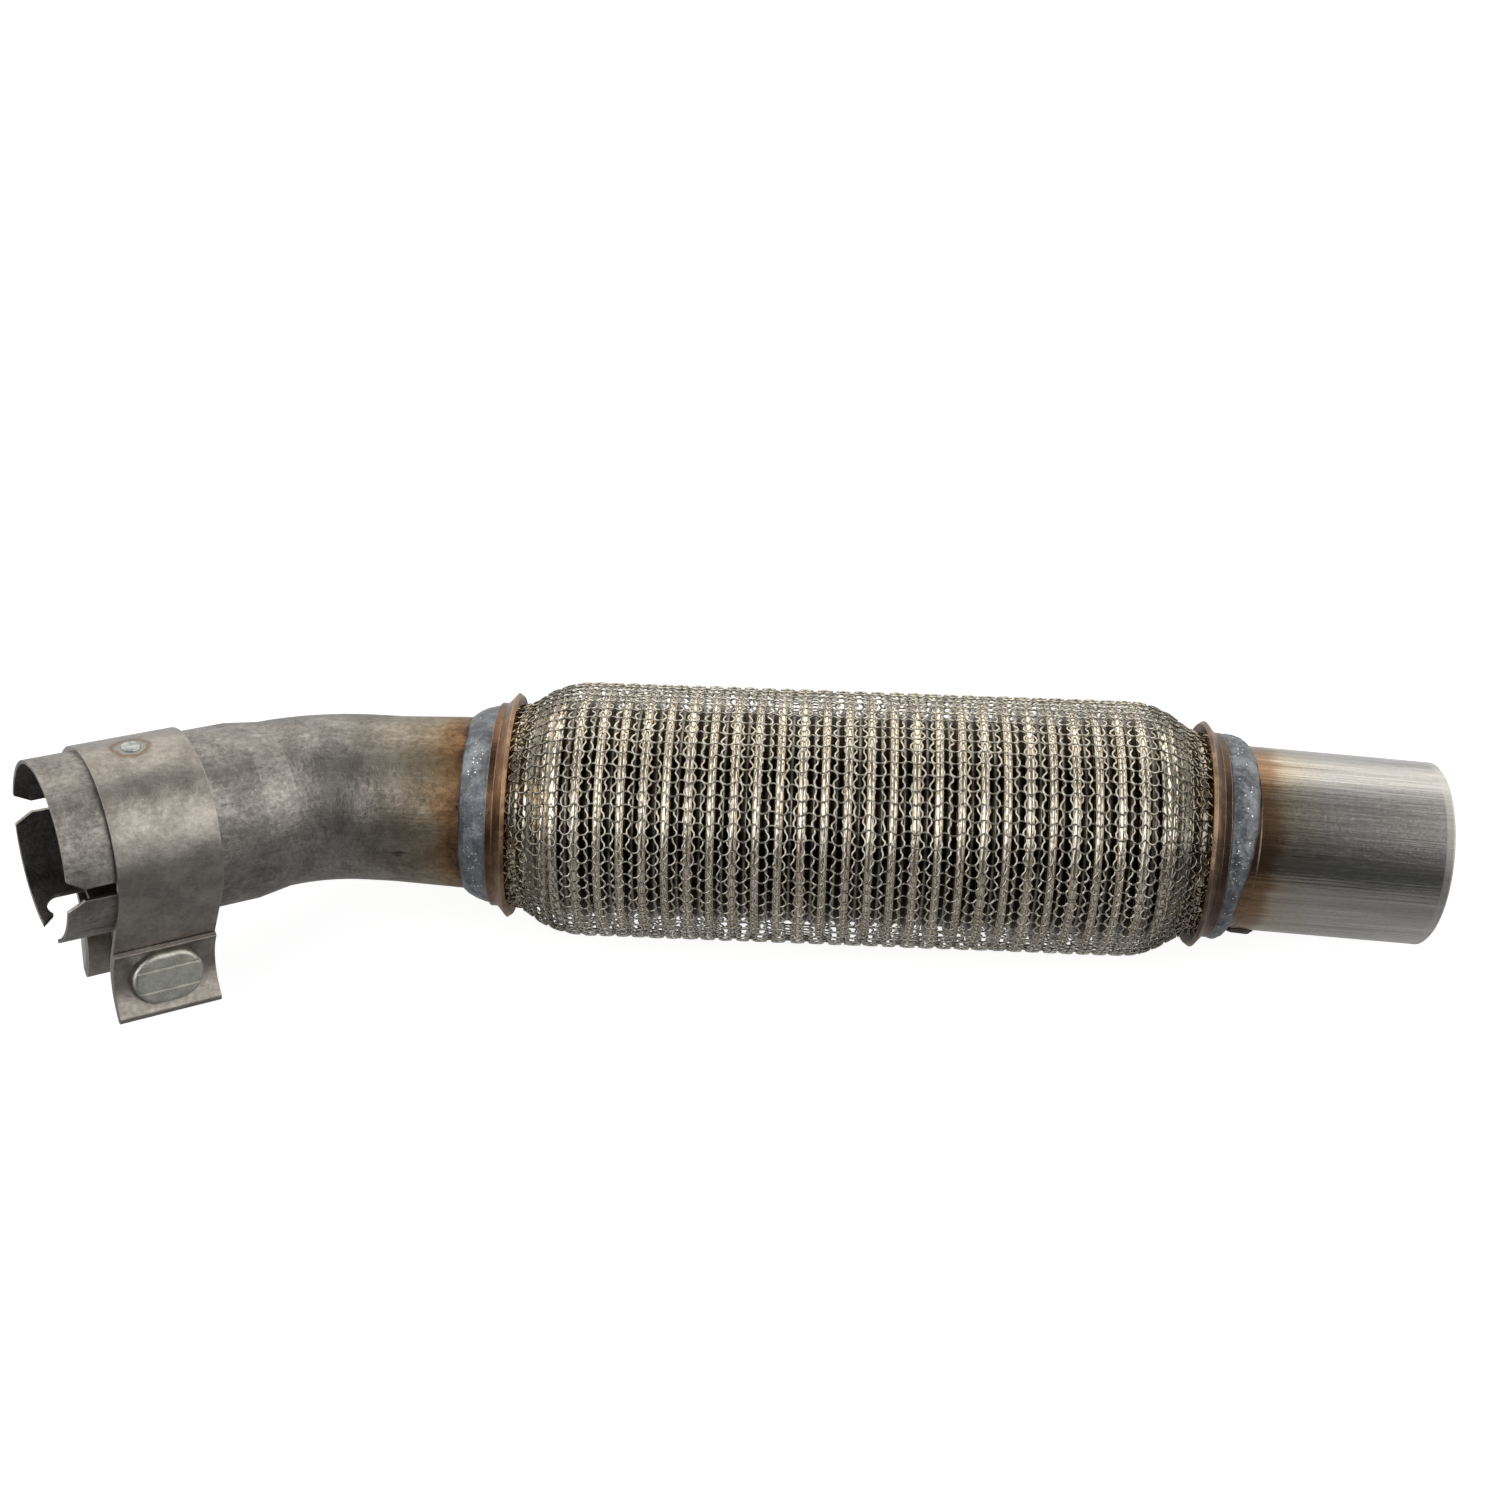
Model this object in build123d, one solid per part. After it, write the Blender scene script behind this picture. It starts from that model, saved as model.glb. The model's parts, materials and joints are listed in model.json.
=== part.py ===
"""Intermediate exhaust pipe with a flexible joint, lying on its mesh sleeve and clamp ears.

The flexible joint lies along X. A straight spigot leaves it at +X and droops a little, and a bent
inlet pipe leaves it at -X and comes forward (-Y) to a slotted socket with a band clamp.
Modelled about the middle of the joint, then moved so that the origin is the spigot's end.
"""
import os
from math import cos, radians, sin, sqrt, tan

from build123d import *

# Flexible joint, measured along X from its middle
flex_half = 88.0            # straight part of the joint, to the point where each end tilts
outlet_droop = 4.8          # degrees that the spigot dips
outlet_shift = (-1.4, 0.5, -1.2)    # cuffs and collar at that end, moved from the tilting point
outlet_turn = (1.2, -1.5)   # and tilted less than the spigot, in degrees down and forward
inlet_rise = 1.7            # degrees that the inlet end lifts
sleeve_radius = 38.5
sleeve_wall = 1.1
sleeve_straight = 80.0
gap_rows = 12
gap_columns = 6
convolutions = 28
crest_radius = 36.9
valley_radius = 31.4
bellows_bore = 30.6
end_crest_radius = 35.2
bellows_half = 91.0

# Ends of the joint: stack of cuffs inside each collar, with distances from the tilting point
cuff_end = 20.2
liner_inner = 27.6
liner_wall = 0.45
bellows_ply = 0.6
bellows_cuff = 6.5          # distance at which the bellows' ends have narrowed to their cuffs
mesh_ply = 0.7
cuff_start = 16.5           # mesh cuff ends here and the shoulder of the sleeve begins
knee = 5.5                  # shoulder's two cones meet here
knee_radius = 35.7
collar_outer = 30.7
lip_radius = 33.9
lip_distance = 15.4
collar_flare = 18.2
liner_waist = 26.6          # inner radius of the interlocked strip between the cuffs
liner_waist_half = 76.0
liner_laps = 6

# Outlet spigot: 55 mm tube
spigot_radius = 27.5
spigot_wall = 1.5
seat_radius = 27.2
spigot_end = 83.0           # from the tilting point
tube_start = 13.4           # the tubes reach this far back into the cuffs
edge_break = 0.5
outlet_bead_end = 26.2
outlet_bead_radius = 31.2

# Inlet pipe: 50 mm tube with one bend, belled to the joint and expanded to a socket
inlet_radius = 25.0
inlet_wall = 1.5
bell_end = 28.8             # end of the steep part of the bell, at the edge of the bead
bell_radius = 25.9
bell_fade = 50.0
bend_vertex = 74.2          # from the tilting point to where the two straight axes cross
bend_radius = 50.0
mouth_yaw = 31.9            # direction in which the mouth points, from -X towards -Y
mouth_lift = 15.9           # and above the horizontal
mouth_distance = 84.0       # from the bend's vertex
socket_bore = 25.25         # radius: slides over a 50 mm tube
socket_outer = 26.45
expansion = 10.0

# Socket slots; angles run round the socket from the ears towards the viewer's side
slot_width = 4.0
slot_length = 38.0
slot_mouth = 9.8
slot_mouth_depth = 4.8
slot_angles = (82.5, -97.0)
window_angle = -5.0         # opening under the ears, at the mouth, with a rounded notch in one side
window_side = 12.0
window_length = 15.0
notch_side = 12.2

# Band clamp, drawn across the socket: x towards the ears, y towards the viewer's side
band_width = 30.0
band_offset = 13.4          # from the mouth to the band's near edge
band_thickness = 1.5
band_fit = 0.03
ear_turn = 22.6             # degrees that the ears turn from straight down
ear_reach = 39.3            # socket axis to the middle of the ears' hollow
hollow_radius = 16.0
hollow_half_gap = 14.0      # middle plane of the clamp to the hollow's floor
ear_wrap = 37.5
ear_lap = 36.0
layer_gap = 0.05
spot_weld_angle = 174.0
spot_weld_distance = 27.2  # from the mouth
spot_weld_radius = 3.5
spot_weld_height = 0.5

# Clamp screw
bolt_radius = 4.0
bolt_hole = 4.4
head_length = 21.0
head_width = 16.0
head_height = 4.2           # above the hollow's floor
head_rib = 3.4              # middle of the head to each groove
washer_length = 30.0
washer_height = 4.6
nut_across = 13.0
nut_flange_radius = 8.6
nut_flange = 1.6
nut_height = 8.5
bolt_tail = 5.0
spacer_length = 16.0
spacer_waist = 10.5
spacer_half = 12.4
spacer_top = 29.6
spacer_bottom = 49.0


def flat(points):
    return make_face(Polyline(*points, close=True))


def turned(frame, way, points):
    """Solid of revolution about the frame's X axis, from (distance, radius) points."""
    return frame * revolve(flat([(way * along, radius) for along, radius in points]), Axis.X)


def tube(frame, way, start, end, inner, outer):
    return turned(frame, way, [(start, inner), (end, inner), (end, outer), (start, outer)])


def disc(frame, along, radius):
    return frame * Pos(along, 0, 0) * Rot(0, 90, 0) * Circle(radius)


outlet_frame = Pos(flex_half, 0, 0) * Rot(0, outlet_droop, 0)
inlet_frame = Pos(-flex_half, 0, 0) * Rot(0, inlet_rise, 0)
outlet_cuffs = Pos(flex_half, 0, 0) * Pos(*outlet_shift) * Rot(0, 0, outlet_turn[1]) * Rot(0, outlet_turn[0], 0)
middle = Pos(0, 0, 0)
ends = {"outlet": (outlet_cuffs, 1), "inlet": (inlet_frame, -1)}

# The socket frame has X out of the mouth, Y to the viewer's side and Z up
vertex = inlet_frame * Pos(-bend_vertex, 0, 0)
socket_frame = Pos(vertex.position) * Rot(0, 0, 180 + mouth_yaw) * Rot(0, -mouth_lift, 0)
mouth_frame = socket_frame * Pos(mouth_distance, 0, 0)

axis_in = Vector(cos(radians(inlet_rise)), 0, -sin(radians(inlet_rise)))
axis_out = (mouth_frame.position - vertex.position).normalized()
bend_angle = 180 - axis_in.get_angle(axis_out)
bend_reach = bend_radius * tan(radians(bend_angle / 2))


def jointed(stations, half, radius):
    """Solid through a straight barrel and the tilted circles at each end, as (distance, radius)."""
    left = [disc(inlet_frame, -along, size) for along, size in stations]
    right = [disc(outlet_cuffs, along, size) for along, size in reversed(stations)]
    return loft(left + [disc(middle, -half, radius), disc(middle, half, radius)] + right, ruled=True)


def bellows():
    """Wavy skin over a plain bore, narrowing at both ends to a tilted cuff."""
    pitch = 2 * bellows_half / convolutions
    wave = [(-bellows_half, valley_radius)]
    for number in range(convolutions):
        start = -bellows_half + number * pitch
        crest = end_crest_radius if number in (0, convolutions - 1) else crest_radius
        wave += [(start + pitch / 2, crest), (start + pitch, valley_radius)]
    skin = turned(middle, 1, wave + [(bellows_half, 0), (-bellows_half, 0)])
    inner = liner_inner + liner_wall
    outer = inner + bellows_ply
    skin += jointed([(cuff_end, outer), (bellows_cuff, outer)], bellows_half, bellows_bore + 0.4)
    return skin - jointed([(cuff_end + 1, inner), (bellows_cuff, inner)], bellows_half, bellows_bore)


def interlock_liner():
    """Strip-wound liner: a plain wall, with laps that step the bore of the flexible part."""
    outer = liner_inner + liner_wall - 0.05
    wall = jointed([(cuff_end, outer), (0, outer)], liner_waist_half, outer)
    wall -= jointed([(cuff_end + 1, liner_inner), (0, liner_inner)], liner_waist_half, liner_inner)
    pitch = 2 * liner_waist_half / liner_laps
    laps = []
    for number in range(liner_laps):
        start = -liner_waist_half + number * pitch
        laps += [(start, liner_waist), (start + pitch, liner_inner - 0.1)]
    backing = liner_inner + 0.2
    return wall + turned(middle, 1, laps + [(liner_waist_half, backing), (-liner_waist_half, backing)])


def sleeve_solid(inset, overrun):
    cuff_radius = liner_inner + liner_wall + bellows_ply + mesh_ply - inset
    stations = [(cuff_end + overrun, cuff_radius), (cuff_start, cuff_radius), (knee, knee_radius - inset)]
    return jointed(stations, sleeve_straight, sleeve_radius - inset)


def knit_mesh_sleeve():
    """One thin wall with rows of long gaps between its wales, through which the bellows shows."""
    core = tube(middle, 1, -sleeve_straight, sleeve_straight, 20.0, sleeve_radius - sleeve_wall)
    wall = sleeve_solid(0, 0) - sleeve_solid(mesh_ply - 0.05, 1) - core
    pitch = 2 * sleeve_straight / gap_columns
    gap = Box(pitch - 4.5, 7.0, 8.0)
    gaps = []
    for column in range(gap_columns):
        for row in range(gap_rows):
            turn = 360 / gap_rows * (row + 0.5 * (column % 2))
            along = -sleeve_straight + pitch * (column + 0.5)
            gaps.append(Rot(turn, 0, 0) * Pos(along, 0, sleeve_radius - 2) * gap)
    return wall - gaps


def end_collar(frame, way):
    """Pressed ring over the cuffs, with a lip that flares out over the mesh."""
    inner = liner_inner + liner_wall + bellows_ply + mesh_ply + 0.02
    return turned(frame, way, [
        (cuff_end, inner), (cuff_end, collar_outer), (collar_flare, collar_outer),
        (lip_distance, lip_radius), (lip_distance - 1.1, lip_radius - 0.8),
        (collar_flare - 0.6, inner)])


def outlet_weld_bead():
    """Fillet bead between the collar's end and the spigot, which leaves the cuffs at a slight angle."""
    start = cuff_end + outlet_shift[0]
    ring = turned(outlet_frame, 1, [
        (start - 3, seat_radius), (start - 3, outlet_bead_radius - 0.6), (start + 1.6, outlet_bead_radius),
        (outlet_bead_end - 3, outlet_bead_radius - 0.3), (outlet_bead_end, spigot_radius),
        (outlet_bead_end, seat_radius)])
    return ring - tube(outlet_cuffs, 1, 0, cuff_end, 0, 2 * lip_radius)


def inlet_weld_bead():
    return turned(inlet_frame, -1, [
        (cuff_end, spigot_radius), (cuff_end, collar_outer), (cuff_end + 1.4, collar_outer),
        (bell_end - 2.6, 28.7), (bell_end, bell_radius), (cuff_end + 2.2, spigot_radius)])


def outlet_pipe():
    """Straight tube, necked in a little where it seats in the joint's cuff under the bead."""
    inner = spigot_radius - spigot_wall
    return turned(outlet_frame, 1, [
        (tube_start, inner), (spigot_end, inner), (spigot_end, spigot_radius - edge_break),
        (spigot_end - edge_break, spigot_radius), (outlet_bead_end, spigot_radius),
        (outlet_bead_end, seat_radius), (tube_start, seat_radius)])


def wall_points(outer, walls):
    """Closed profile of a wall, from its (distance, outer radius) points and its thickness."""
    inner = [(along, radius - wall) for (along, radius), wall in zip(outer, walls)]
    return outer + inner[::-1]


def through_side(angle, outline):
    """Cutter through one side of the socket at an angle from the ears, its outline drawn from the mouth."""
    return Rot(180 + ear_turn + angle, 0, 0) * extrude(outline, 1.5 * socket_outer)


def slot_outline():
    """Slot with a V mouth."""
    half = slot_width / 2
    mouth = slot_mouth / 2
    return flat([(1, -mouth - 0.5), (0, -mouth), (-slot_mouth_depth, -half), (-slot_length, -half),
                 (-slot_length, half), (-slot_mouth_depth, half), (0, mouth), (1, mouth + 0.5)])


def window_outline():
    """Open window with a rounded notch behind the finger on its far side."""
    notch = ThreePointArc((-3.8, notch_side - 6.3), (-3.2, notch_side - 2.2), (-6.4, notch_side))
    rest = Polyline((-6.4, notch_side), (-window_length, notch_side), (-window_length, -window_side),
                    (1, -window_side), (1, 1.4), (0, 2.3), (-3.8, notch_side - 6.3))
    return make_face([notch, rest])


def bent_inlet_pipe():
    bell = turned(inlet_frame, -1, wall_points(
        [(tube_start, spigot_radius), (cuff_end + 2.2, spigot_radius), (bell_end, bell_radius),
         (bell_fade, inlet_radius), (bend_vertex - bend_reach, inlet_radius)], [inlet_wall] * 5))
    start = inlet_frame * Pos(-(bend_vertex - bend_reach), 0, 0)
    heading = axis_in * -1
    toward = (axis_out - heading * axis_out.dot(heading)).normalized()
    section = Plane(origin=start.position, x_dir=toward, z_dir=heading)
    ring = section * (Circle(inlet_radius) - Circle(inlet_radius - inlet_wall))
    centre = start.position + toward * bend_radius
    bend = revolve(ring, Axis(centre, heading.cross(toward)), bend_angle)
    socket_wall = socket_outer - socket_bore
    socket = turned(socket_frame, 1, wall_points(
        [(bend_reach, inlet_radius), (bend_reach + expansion, socket_outer),
         (mouth_distance, socket_outer)], [inlet_wall, socket_wall, socket_wall]))
    pipe = bell + bend + socket
    cutters = [mouth_frame * through_side(angle, slot_outline()) for angle in slot_angles]
    cutters.append(mouth_frame * through_side(window_angle, window_outline()))
    return pipe - cutters


# Clamp plane: x towards the ears, y to the viewer's side, z out of the mouth
clamp_frame = mouth_frame * Pos(-band_offset - band_width, 0, 0) * Rot(ear_turn, 0, 0) * Rot(0, 90, 0)


def strip_path():
    """Middle line of the band for one side: lap, hem at the ear's tip, ear, and round the socket."""
    band_mid = socket_outer + band_fit + band_thickness / 2
    hollow = Vector(ear_reach, hollow_half_gap + hollow_radius)
    lap_radius = hollow_radius + band_thickness / 2
    ear_radius = lap_radius + band_thickness + layer_gap
    distance = sqrt(hollow.X ** 2 + hollow.Y ** 2)
    lean = Vector(1, 0).get_angle(hollow)
    spread = Vector((band_mid + ear_radius) / distance, sqrt(1 - ((band_mid + ear_radius) / distance) ** 2))
    leave = lean + Vector(1, 0).get_angle(spread)

    def round_hollow(radius, angle):
        return (hollow.X + radius * sin(radians(angle)), hollow.Y - radius * cos(radians(angle)))

    lap = ThreePointArc(round_hollow(lap_radius, -ear_lap), round_hollow(lap_radius, 0),
                        round_hollow(lap_radius, ear_wrap))
    hem_radius = (ear_radius - lap_radius) / 2
    tip = Vector(*round_hollow(lap_radius + hem_radius, ear_wrap))
    tip += Vector(cos(radians(ear_wrap)), sin(radians(ear_wrap))) * hem_radius
    hem = ThreePointArc(lap @ 1, tip, round_hollow(ear_radius, ear_wrap))
    ear = ThreePointArc(hem @ 1, round_hollow(ear_radius, 0), round_hollow(ear_radius, leave - 90))
    touch = (band_mid * cos(radians(leave)), band_mid * sin(radians(leave)))
    straight = Line(ear @ 1, touch)
    loop = ThreePointArc(touch, (0, band_mid), (-band_mid, 0))
    return [lap, hem, ear, straight, loop]


def across_screw(low, high, radius, sides=0):
    """Round or six-sided bar on the screw's axis, between two heights above the clamp's middle plane."""
    section = RegularPolygon(radius, sides, major_radius=False) if sides else Circle(radius)
    axis_place = clamp_frame * Pos(ear_reach, 0, band_width / 2) * Rot(-90, 0, 0)
    return axis_place * Pos(0, 0, low) * extrude(section, high - low)


def clamp_band():
    half = trace(strip_path(), band_thickness)
    whole = half + mirror(half, Plane.XZ)
    band = clamp_frame * extrude(whole, band_width)
    return band - across_screw(-30, 30, bolt_hole)


def hollow_bar(way, radius):
    """Round bar that fills the hollow of one ear."""
    height = way * (hollow_half_gap + hollow_radius)
    return clamp_frame * Pos(ear_reach, height, 0) * extrude(Circle(radius), band_width)


def clamp_bolt():
    top = hollow_half_gap + head_height
    oval = SlotOverall(head_length, head_width)
    place = clamp_frame * Pos(ear_reach, 0, band_width / 2) * Rot(-90, 0, 0) * Rot(0, 0, 90)
    head = extrude(oval, top)
    head = fillet(head.faces().sort_by(Axis.Z)[-1].edges(), 1.4)
    for side in (-head_rib, head_rib):
        head -= Pos(0, side, top) * Box(head_length, 0.7, 0.8)
    head = (place * head) & hollow_bar(1, hollow_radius - 0.02)
    tail = -(hollow_half_gap + washer_height + nut_height + bolt_tail)
    return head + across_screw(tail, hollow_half_gap + 1.0, bolt_radius)


def clamp_nut_washer():
    seat = -(hollow_half_gap + washer_height)
    slab = clamp_frame * Pos(ear_reach, seat + 5, band_width / 2) * Box(22, 10, washer_length)
    return (slab & hollow_bar(-1, hollow_radius - 0.02)) - across_screw(-40, 0, bolt_hole)


def clamp_nut():
    seat = -(hollow_half_gap + washer_height)
    flange = across_screw(seat - nut_flange, seat, nut_flange_radius)
    body = across_screw(seat - nut_height, seat, nut_across / 2, 6)
    return flange + body - across_screw(seat - nut_height, seat, bolt_radius + 0.05)


def clamp_spacer():
    """Waisted block on the screw, between the ears."""
    sides = [ThreePointArc((spacer_top, way * spacer_half), (ear_reach, way * spacer_waist),
                           (spacer_bottom, way * spacer_half)) for way in (1, -1)]
    rim = [Line(sides[0] @ place, sides[1] @ place) for place in (0, 1)]
    block = Pos(0, 0, (band_width - spacer_length) / 2) * extrude(make_face(sides + rim), spacer_length)
    return clamp_frame * block - across_screw(-20, 20, bolt_hole)


def band_spot_weld():
    """Low round nugget that tacks the band to the socket."""
    surface = socket_outer + band_fit + band_thickness
    place = mouth_frame * Pos(-spot_weld_distance, 0, 0) * Rot(180 + ear_turn + spot_weld_angle, 0, 0)
    stud = Cone(spot_weld_radius, spot_weld_radius * 0.7, 1.4)
    shell = tube(mouth_frame, -1, band_offset, band_offset + band_width, 0, surface)
    return place * Pos(0, 0, surface + spot_weld_height - 0.7) * stud - shell


parts = {
    "outlet_pipe": outlet_pipe,
    "bent_inlet_pipe": bent_inlet_pipe,
    "outlet_weld_bead": outlet_weld_bead,
    "inlet_weld_bead": inlet_weld_bead,
    "outlet_end_collar": lambda: end_collar(*ends["outlet"]),
    "inlet_end_collar": lambda: end_collar(*ends["inlet"]),
    "bellows": bellows,
    "interlock_liner": interlock_liner,
    "knit_mesh_sleeve": knit_mesh_sleeve,
    "clamp_band": clamp_band,
    "clamp_spacer": clamp_spacer,
    "clamp_bolt": clamp_bolt,
    "clamp_nut_washer": clamp_nut_washer,
    "clamp_nut": clamp_nut,
    "band_spot_weld": band_spot_weld,
}

os.makedirs("parts", exist_ok=True)
spigot_centre = (outlet_frame * Pos(spigot_end, 0, 0)).position
for name, build in parts.items():
    solid = Pos(*(spigot_centre * -1)) * build()
    export_step(solid, f"parts/{name}.step")
    print(name, len(solid.solids()), round(solid.volume), round(solid.bounding_box().min.Z, 2))
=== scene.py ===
"""Looks of a flexible exhaust pipe: wire sleeve over a bellows, heat-tinted tubes, welds and band clamp."""

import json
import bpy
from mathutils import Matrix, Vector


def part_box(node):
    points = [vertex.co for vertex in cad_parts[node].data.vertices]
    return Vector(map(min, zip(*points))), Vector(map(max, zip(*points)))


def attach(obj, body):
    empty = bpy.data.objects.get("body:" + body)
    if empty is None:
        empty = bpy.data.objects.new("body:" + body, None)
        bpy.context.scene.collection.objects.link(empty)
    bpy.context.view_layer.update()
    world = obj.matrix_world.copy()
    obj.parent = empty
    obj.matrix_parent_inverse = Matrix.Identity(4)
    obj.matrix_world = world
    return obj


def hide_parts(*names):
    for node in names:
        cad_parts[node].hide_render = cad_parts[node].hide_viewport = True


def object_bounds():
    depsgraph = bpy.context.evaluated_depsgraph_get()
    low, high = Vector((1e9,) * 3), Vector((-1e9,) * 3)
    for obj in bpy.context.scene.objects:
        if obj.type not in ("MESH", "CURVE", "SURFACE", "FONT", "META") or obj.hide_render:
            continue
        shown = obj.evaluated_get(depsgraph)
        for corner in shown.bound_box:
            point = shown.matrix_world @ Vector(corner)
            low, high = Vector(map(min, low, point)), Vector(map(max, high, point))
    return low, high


bl_info = {
    "name": "Flexible Exhaust Pipe",
    "version": (1, 0, 0),
    "blender": (4, 5, 0),
    "location": "View3D > Sidebar > Exhaust",
    "description": "Dresses the flexible exhaust pipe with its knitted sleeve, bellows, welds and finishes",
    "category": "Object",
}

from math import cos, pi, radians, sin, tan, tau

import bmesh
import bpy
from bpy.props import FloatProperty, FloatVectorProperty, IntProperty, PointerProperty
from mathutils import Matrix, Vector
from mathutils.noise import noise as value_noise

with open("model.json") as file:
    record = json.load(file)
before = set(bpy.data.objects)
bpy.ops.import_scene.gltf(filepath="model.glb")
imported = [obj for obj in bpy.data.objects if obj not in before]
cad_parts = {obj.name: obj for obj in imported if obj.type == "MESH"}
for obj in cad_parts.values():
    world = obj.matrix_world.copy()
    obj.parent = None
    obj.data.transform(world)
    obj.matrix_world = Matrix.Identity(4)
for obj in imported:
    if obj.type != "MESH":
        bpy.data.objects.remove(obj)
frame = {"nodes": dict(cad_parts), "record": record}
cad_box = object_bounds()
steel_colours = {row["slot"]: tuple(row["base_color"]) for row in frame["record"]["materials"]}

MM = 0.001

# Places on the pipe, in millimetres from the middle of the flexible joint and in degrees
joint_middle = Vector((-170.709, 0, 6.945)) * MM
joint_half = 88.0
outlet_droop = 4.8
outlet_shift = Vector((-1.4, 0.5, -1.2))
outlet_dip = 1.2
outlet_yaw = -1.5
inlet_rise = 1.7
collar_face = 20.2
outlet_toe = 26.2
inlet_toe = 28.8
spigot_end = 83.0
spigot_radius = 27.5
bend_vertex = 74.2
bend_radius = 50.0
expansion = 10.0
tube_wall_middle = 24.3
socket_wall_middle = 25.85
mouth_yaw = 31.9
mouth_lift = 15.9
mouth_distance = 84.0
ear_turn = 22.6
ear_reach = 39.3
band_offset = 13.4
band_width = 30.0
screw_tail = -32.1
nut_face = -27.1


def shifted(along=0.0, across=0.0, up=0.0):
    return Matrix.Translation((along * MM, across * MM, up * MM))


def turned(angle, axis):
    return Matrix.Rotation(radians(angle), 4, axis)


along_joint = Matrix.Translation(joint_middle)
outlet_end = along_joint @ shifted(joint_half) @ turned(outlet_droop, "Y")
outlet_cuffs = along_joint @ shifted(joint_half) @ shifted(*outlet_shift) @ turned(outlet_yaw, "Z") @ turned(
    outlet_dip, "Y")
inlet_end = along_joint @ shifted(-joint_half) @ turned(inlet_rise, "Y") @ turned(180, "Z")
bend_corner = inlet_end @ Vector((bend_vertex * MM, 0, 0))
socket_line = Matrix.Translation(bend_corner) @ turned(180 + mouth_yaw, "Z") @ turned(-mouth_lift, "Y")
mouth = socket_line @ shifted(mouth_distance)
band_place = mouth @ shifted(-band_offset - band_width) @ turned(ear_turn, "X") @ turned(90, "Y")
screw_place = band_place @ shifted(ear_reach, 0, band_width / 2) @ turned(-90, "X")
bend = inlet_end.to_quaternion().to_matrix().col[0].rotation_difference(socket_line.to_3x3().col[0])
bent_line = Matrix.Translation(bend_corner) @ bend.to_matrix().to_4x4() @ inlet_end.to_3x3().to_4x4()
bend_reach = bend_radius * tan(bend.angle / 2)
bend_sag = bend_radius * (1 / cos(bend.angle / 2) - 1)

# Sleeve's surface in millimetres: the run is measured along the wire from the middle
sleeve_straight = 76.6
sleeve_run = 107.0
sleeve_radius = 37.7
shoulder_length = 28.9
shoulder_fall = 8.6
shoulder_advance = [(0, 0), (0.231, 0.245), (0.471, 0.493), (0.593, 0.616), (0.731, 0.741), (0.865, 0.864),
                    (1, 1)]
shoulder_drop = [(0, 0), (0.231, 0.03), (0.471, 0.25), (0.593, 0.46), (0.731, 0.74), (0.865, 0.91), (1, 1)]

# Stitches crowd towards the ends, and drift most where the sleeve gathers under its collars;
# each drift is the noise's scale with its amount on the barrel and in the gathers
crowding_share = 0.08
gather_start = 92.0
gather_end = 104.0
drifts = ((4.2, 3.0, 5.0), (17.0, 0.6, 4.2))
drift_radius = 46.0
drift_squeeze = 0.012

# Colours that heat, gas, dirt and rubbing leave on the steel, with painted light among them: highlights on
# rubbed edges, the collars' lips and the bellows' valleys, and shade in the bellows' folds, at the welds'
# feet and on the outlet collar
mill_scale = (0.05, 0.042, 0.036)
score_grey = (0.09, 0.08, 0.075)
tube_dirt = (0.10, 0.085, 0.07)
spigot_dirt = (0.10, 0.075, 0.05)
band_dirt = (0.10, 0.085, 0.075)
rust_brown = (0.24, 0.165, 0.10)
# Rubbed colours: edges lightened as wear and as a painted highlight
rubbed_tube_highlight = (0.62, 0.59, 0.54)
rubbed_spigot_highlight = (0.70, 0.67, 0.62)
rubbed_copper_highlight = (0.74, 0.60, 0.43)
rubbed_band_highlight = (0.66, 0.62, 0.57)
rubbed_plating_highlight = (0.66, 0.64, 0.58)
rubbed_block_highlight = (0.6, 0.57, 0.52)
rubbed_nugget_highlight = (0.70, 0.71, 0.69)
cut_rim = (0.72, 0.70, 0.66)
burnt_tint = (0.50, 0.31, 0.20)
# The outlet collar is tinted darker than the inlet's as painted shade, against the brighter light it reflects
outlet_collar_shaded_tint = (0.38, 0.34, 0.32)
inlet_collar_tint = (0.62, 0.48, 0.38)
# Gold on the collars' lips, lightened as a painted highlight too
lip_gold_highlight = (0.42, 0.29, 0.18)
scorched_brown = (0.10, 0.07, 0.055)
slag_tint = (0.95, 0.94, 0.91)
pit_blue = (0.08, 0.085, 0.10)
# Painted shade at the feet of the weld beads
bead_foot_shade = (0.06, 0.05, 0.05)
bright_drop = (0.88, 0.87, 0.84)
drip_scale = (0.075, 0.062, 0.055)
wire_tint = (0.98, 0.96, 0.98)
wire_gold = (0.46, 0.35, 0.22)
strip_tint = (1.6, 1.5, 1.36)
strip_gold = (0.60, 0.44, 0.24)
# Painted highlight along the bottom of the bellows' valleys
valley_highlight = (0.50, 0.45, 0.37)
# Painted shade in the bellows' folds, and the painted reflection lines in it
fold_shade = (0.035, 0.028, 0.022)
fold_reflection = (0.34, 0.28, 0.21)
burnt_ring = (0.17, 0.10, 0.062)
ring_grey = (0.27, 0.29, 0.28)
nugget_silver = (0.46, 0.48, 0.47)
plating_tint = (1.34, 1.38, 1.28)

# What polished steel sees in the room from the viewer's side (0) over the top to the back (1)
middle_panels = ((0.05, 0.033), (0.16, 0.025), (0.38, 0.02), (0.62, 0.066), (0.84, 0.09), (0.90, 0.42),
                 (0.94, (0.84, 0.81, 0.75)))
side_panels = ((0.10, 0.18), (0.28, 0.34), (0.42, (0.95, 0.93, 0.88)), (0.70, (1.0, 0.98, 0.92)))
left_window = ((0.17, 0.0), (0.27, 1.0), (0.50, 1.0), (0.60, 0.1))

# Camera, in millimetres from the joint's middle and in degrees
viewpoint = Vector((-13.8, -389.0, 494.3)) * MM
view_turn = 2.68
view_fall = 50.0


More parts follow.
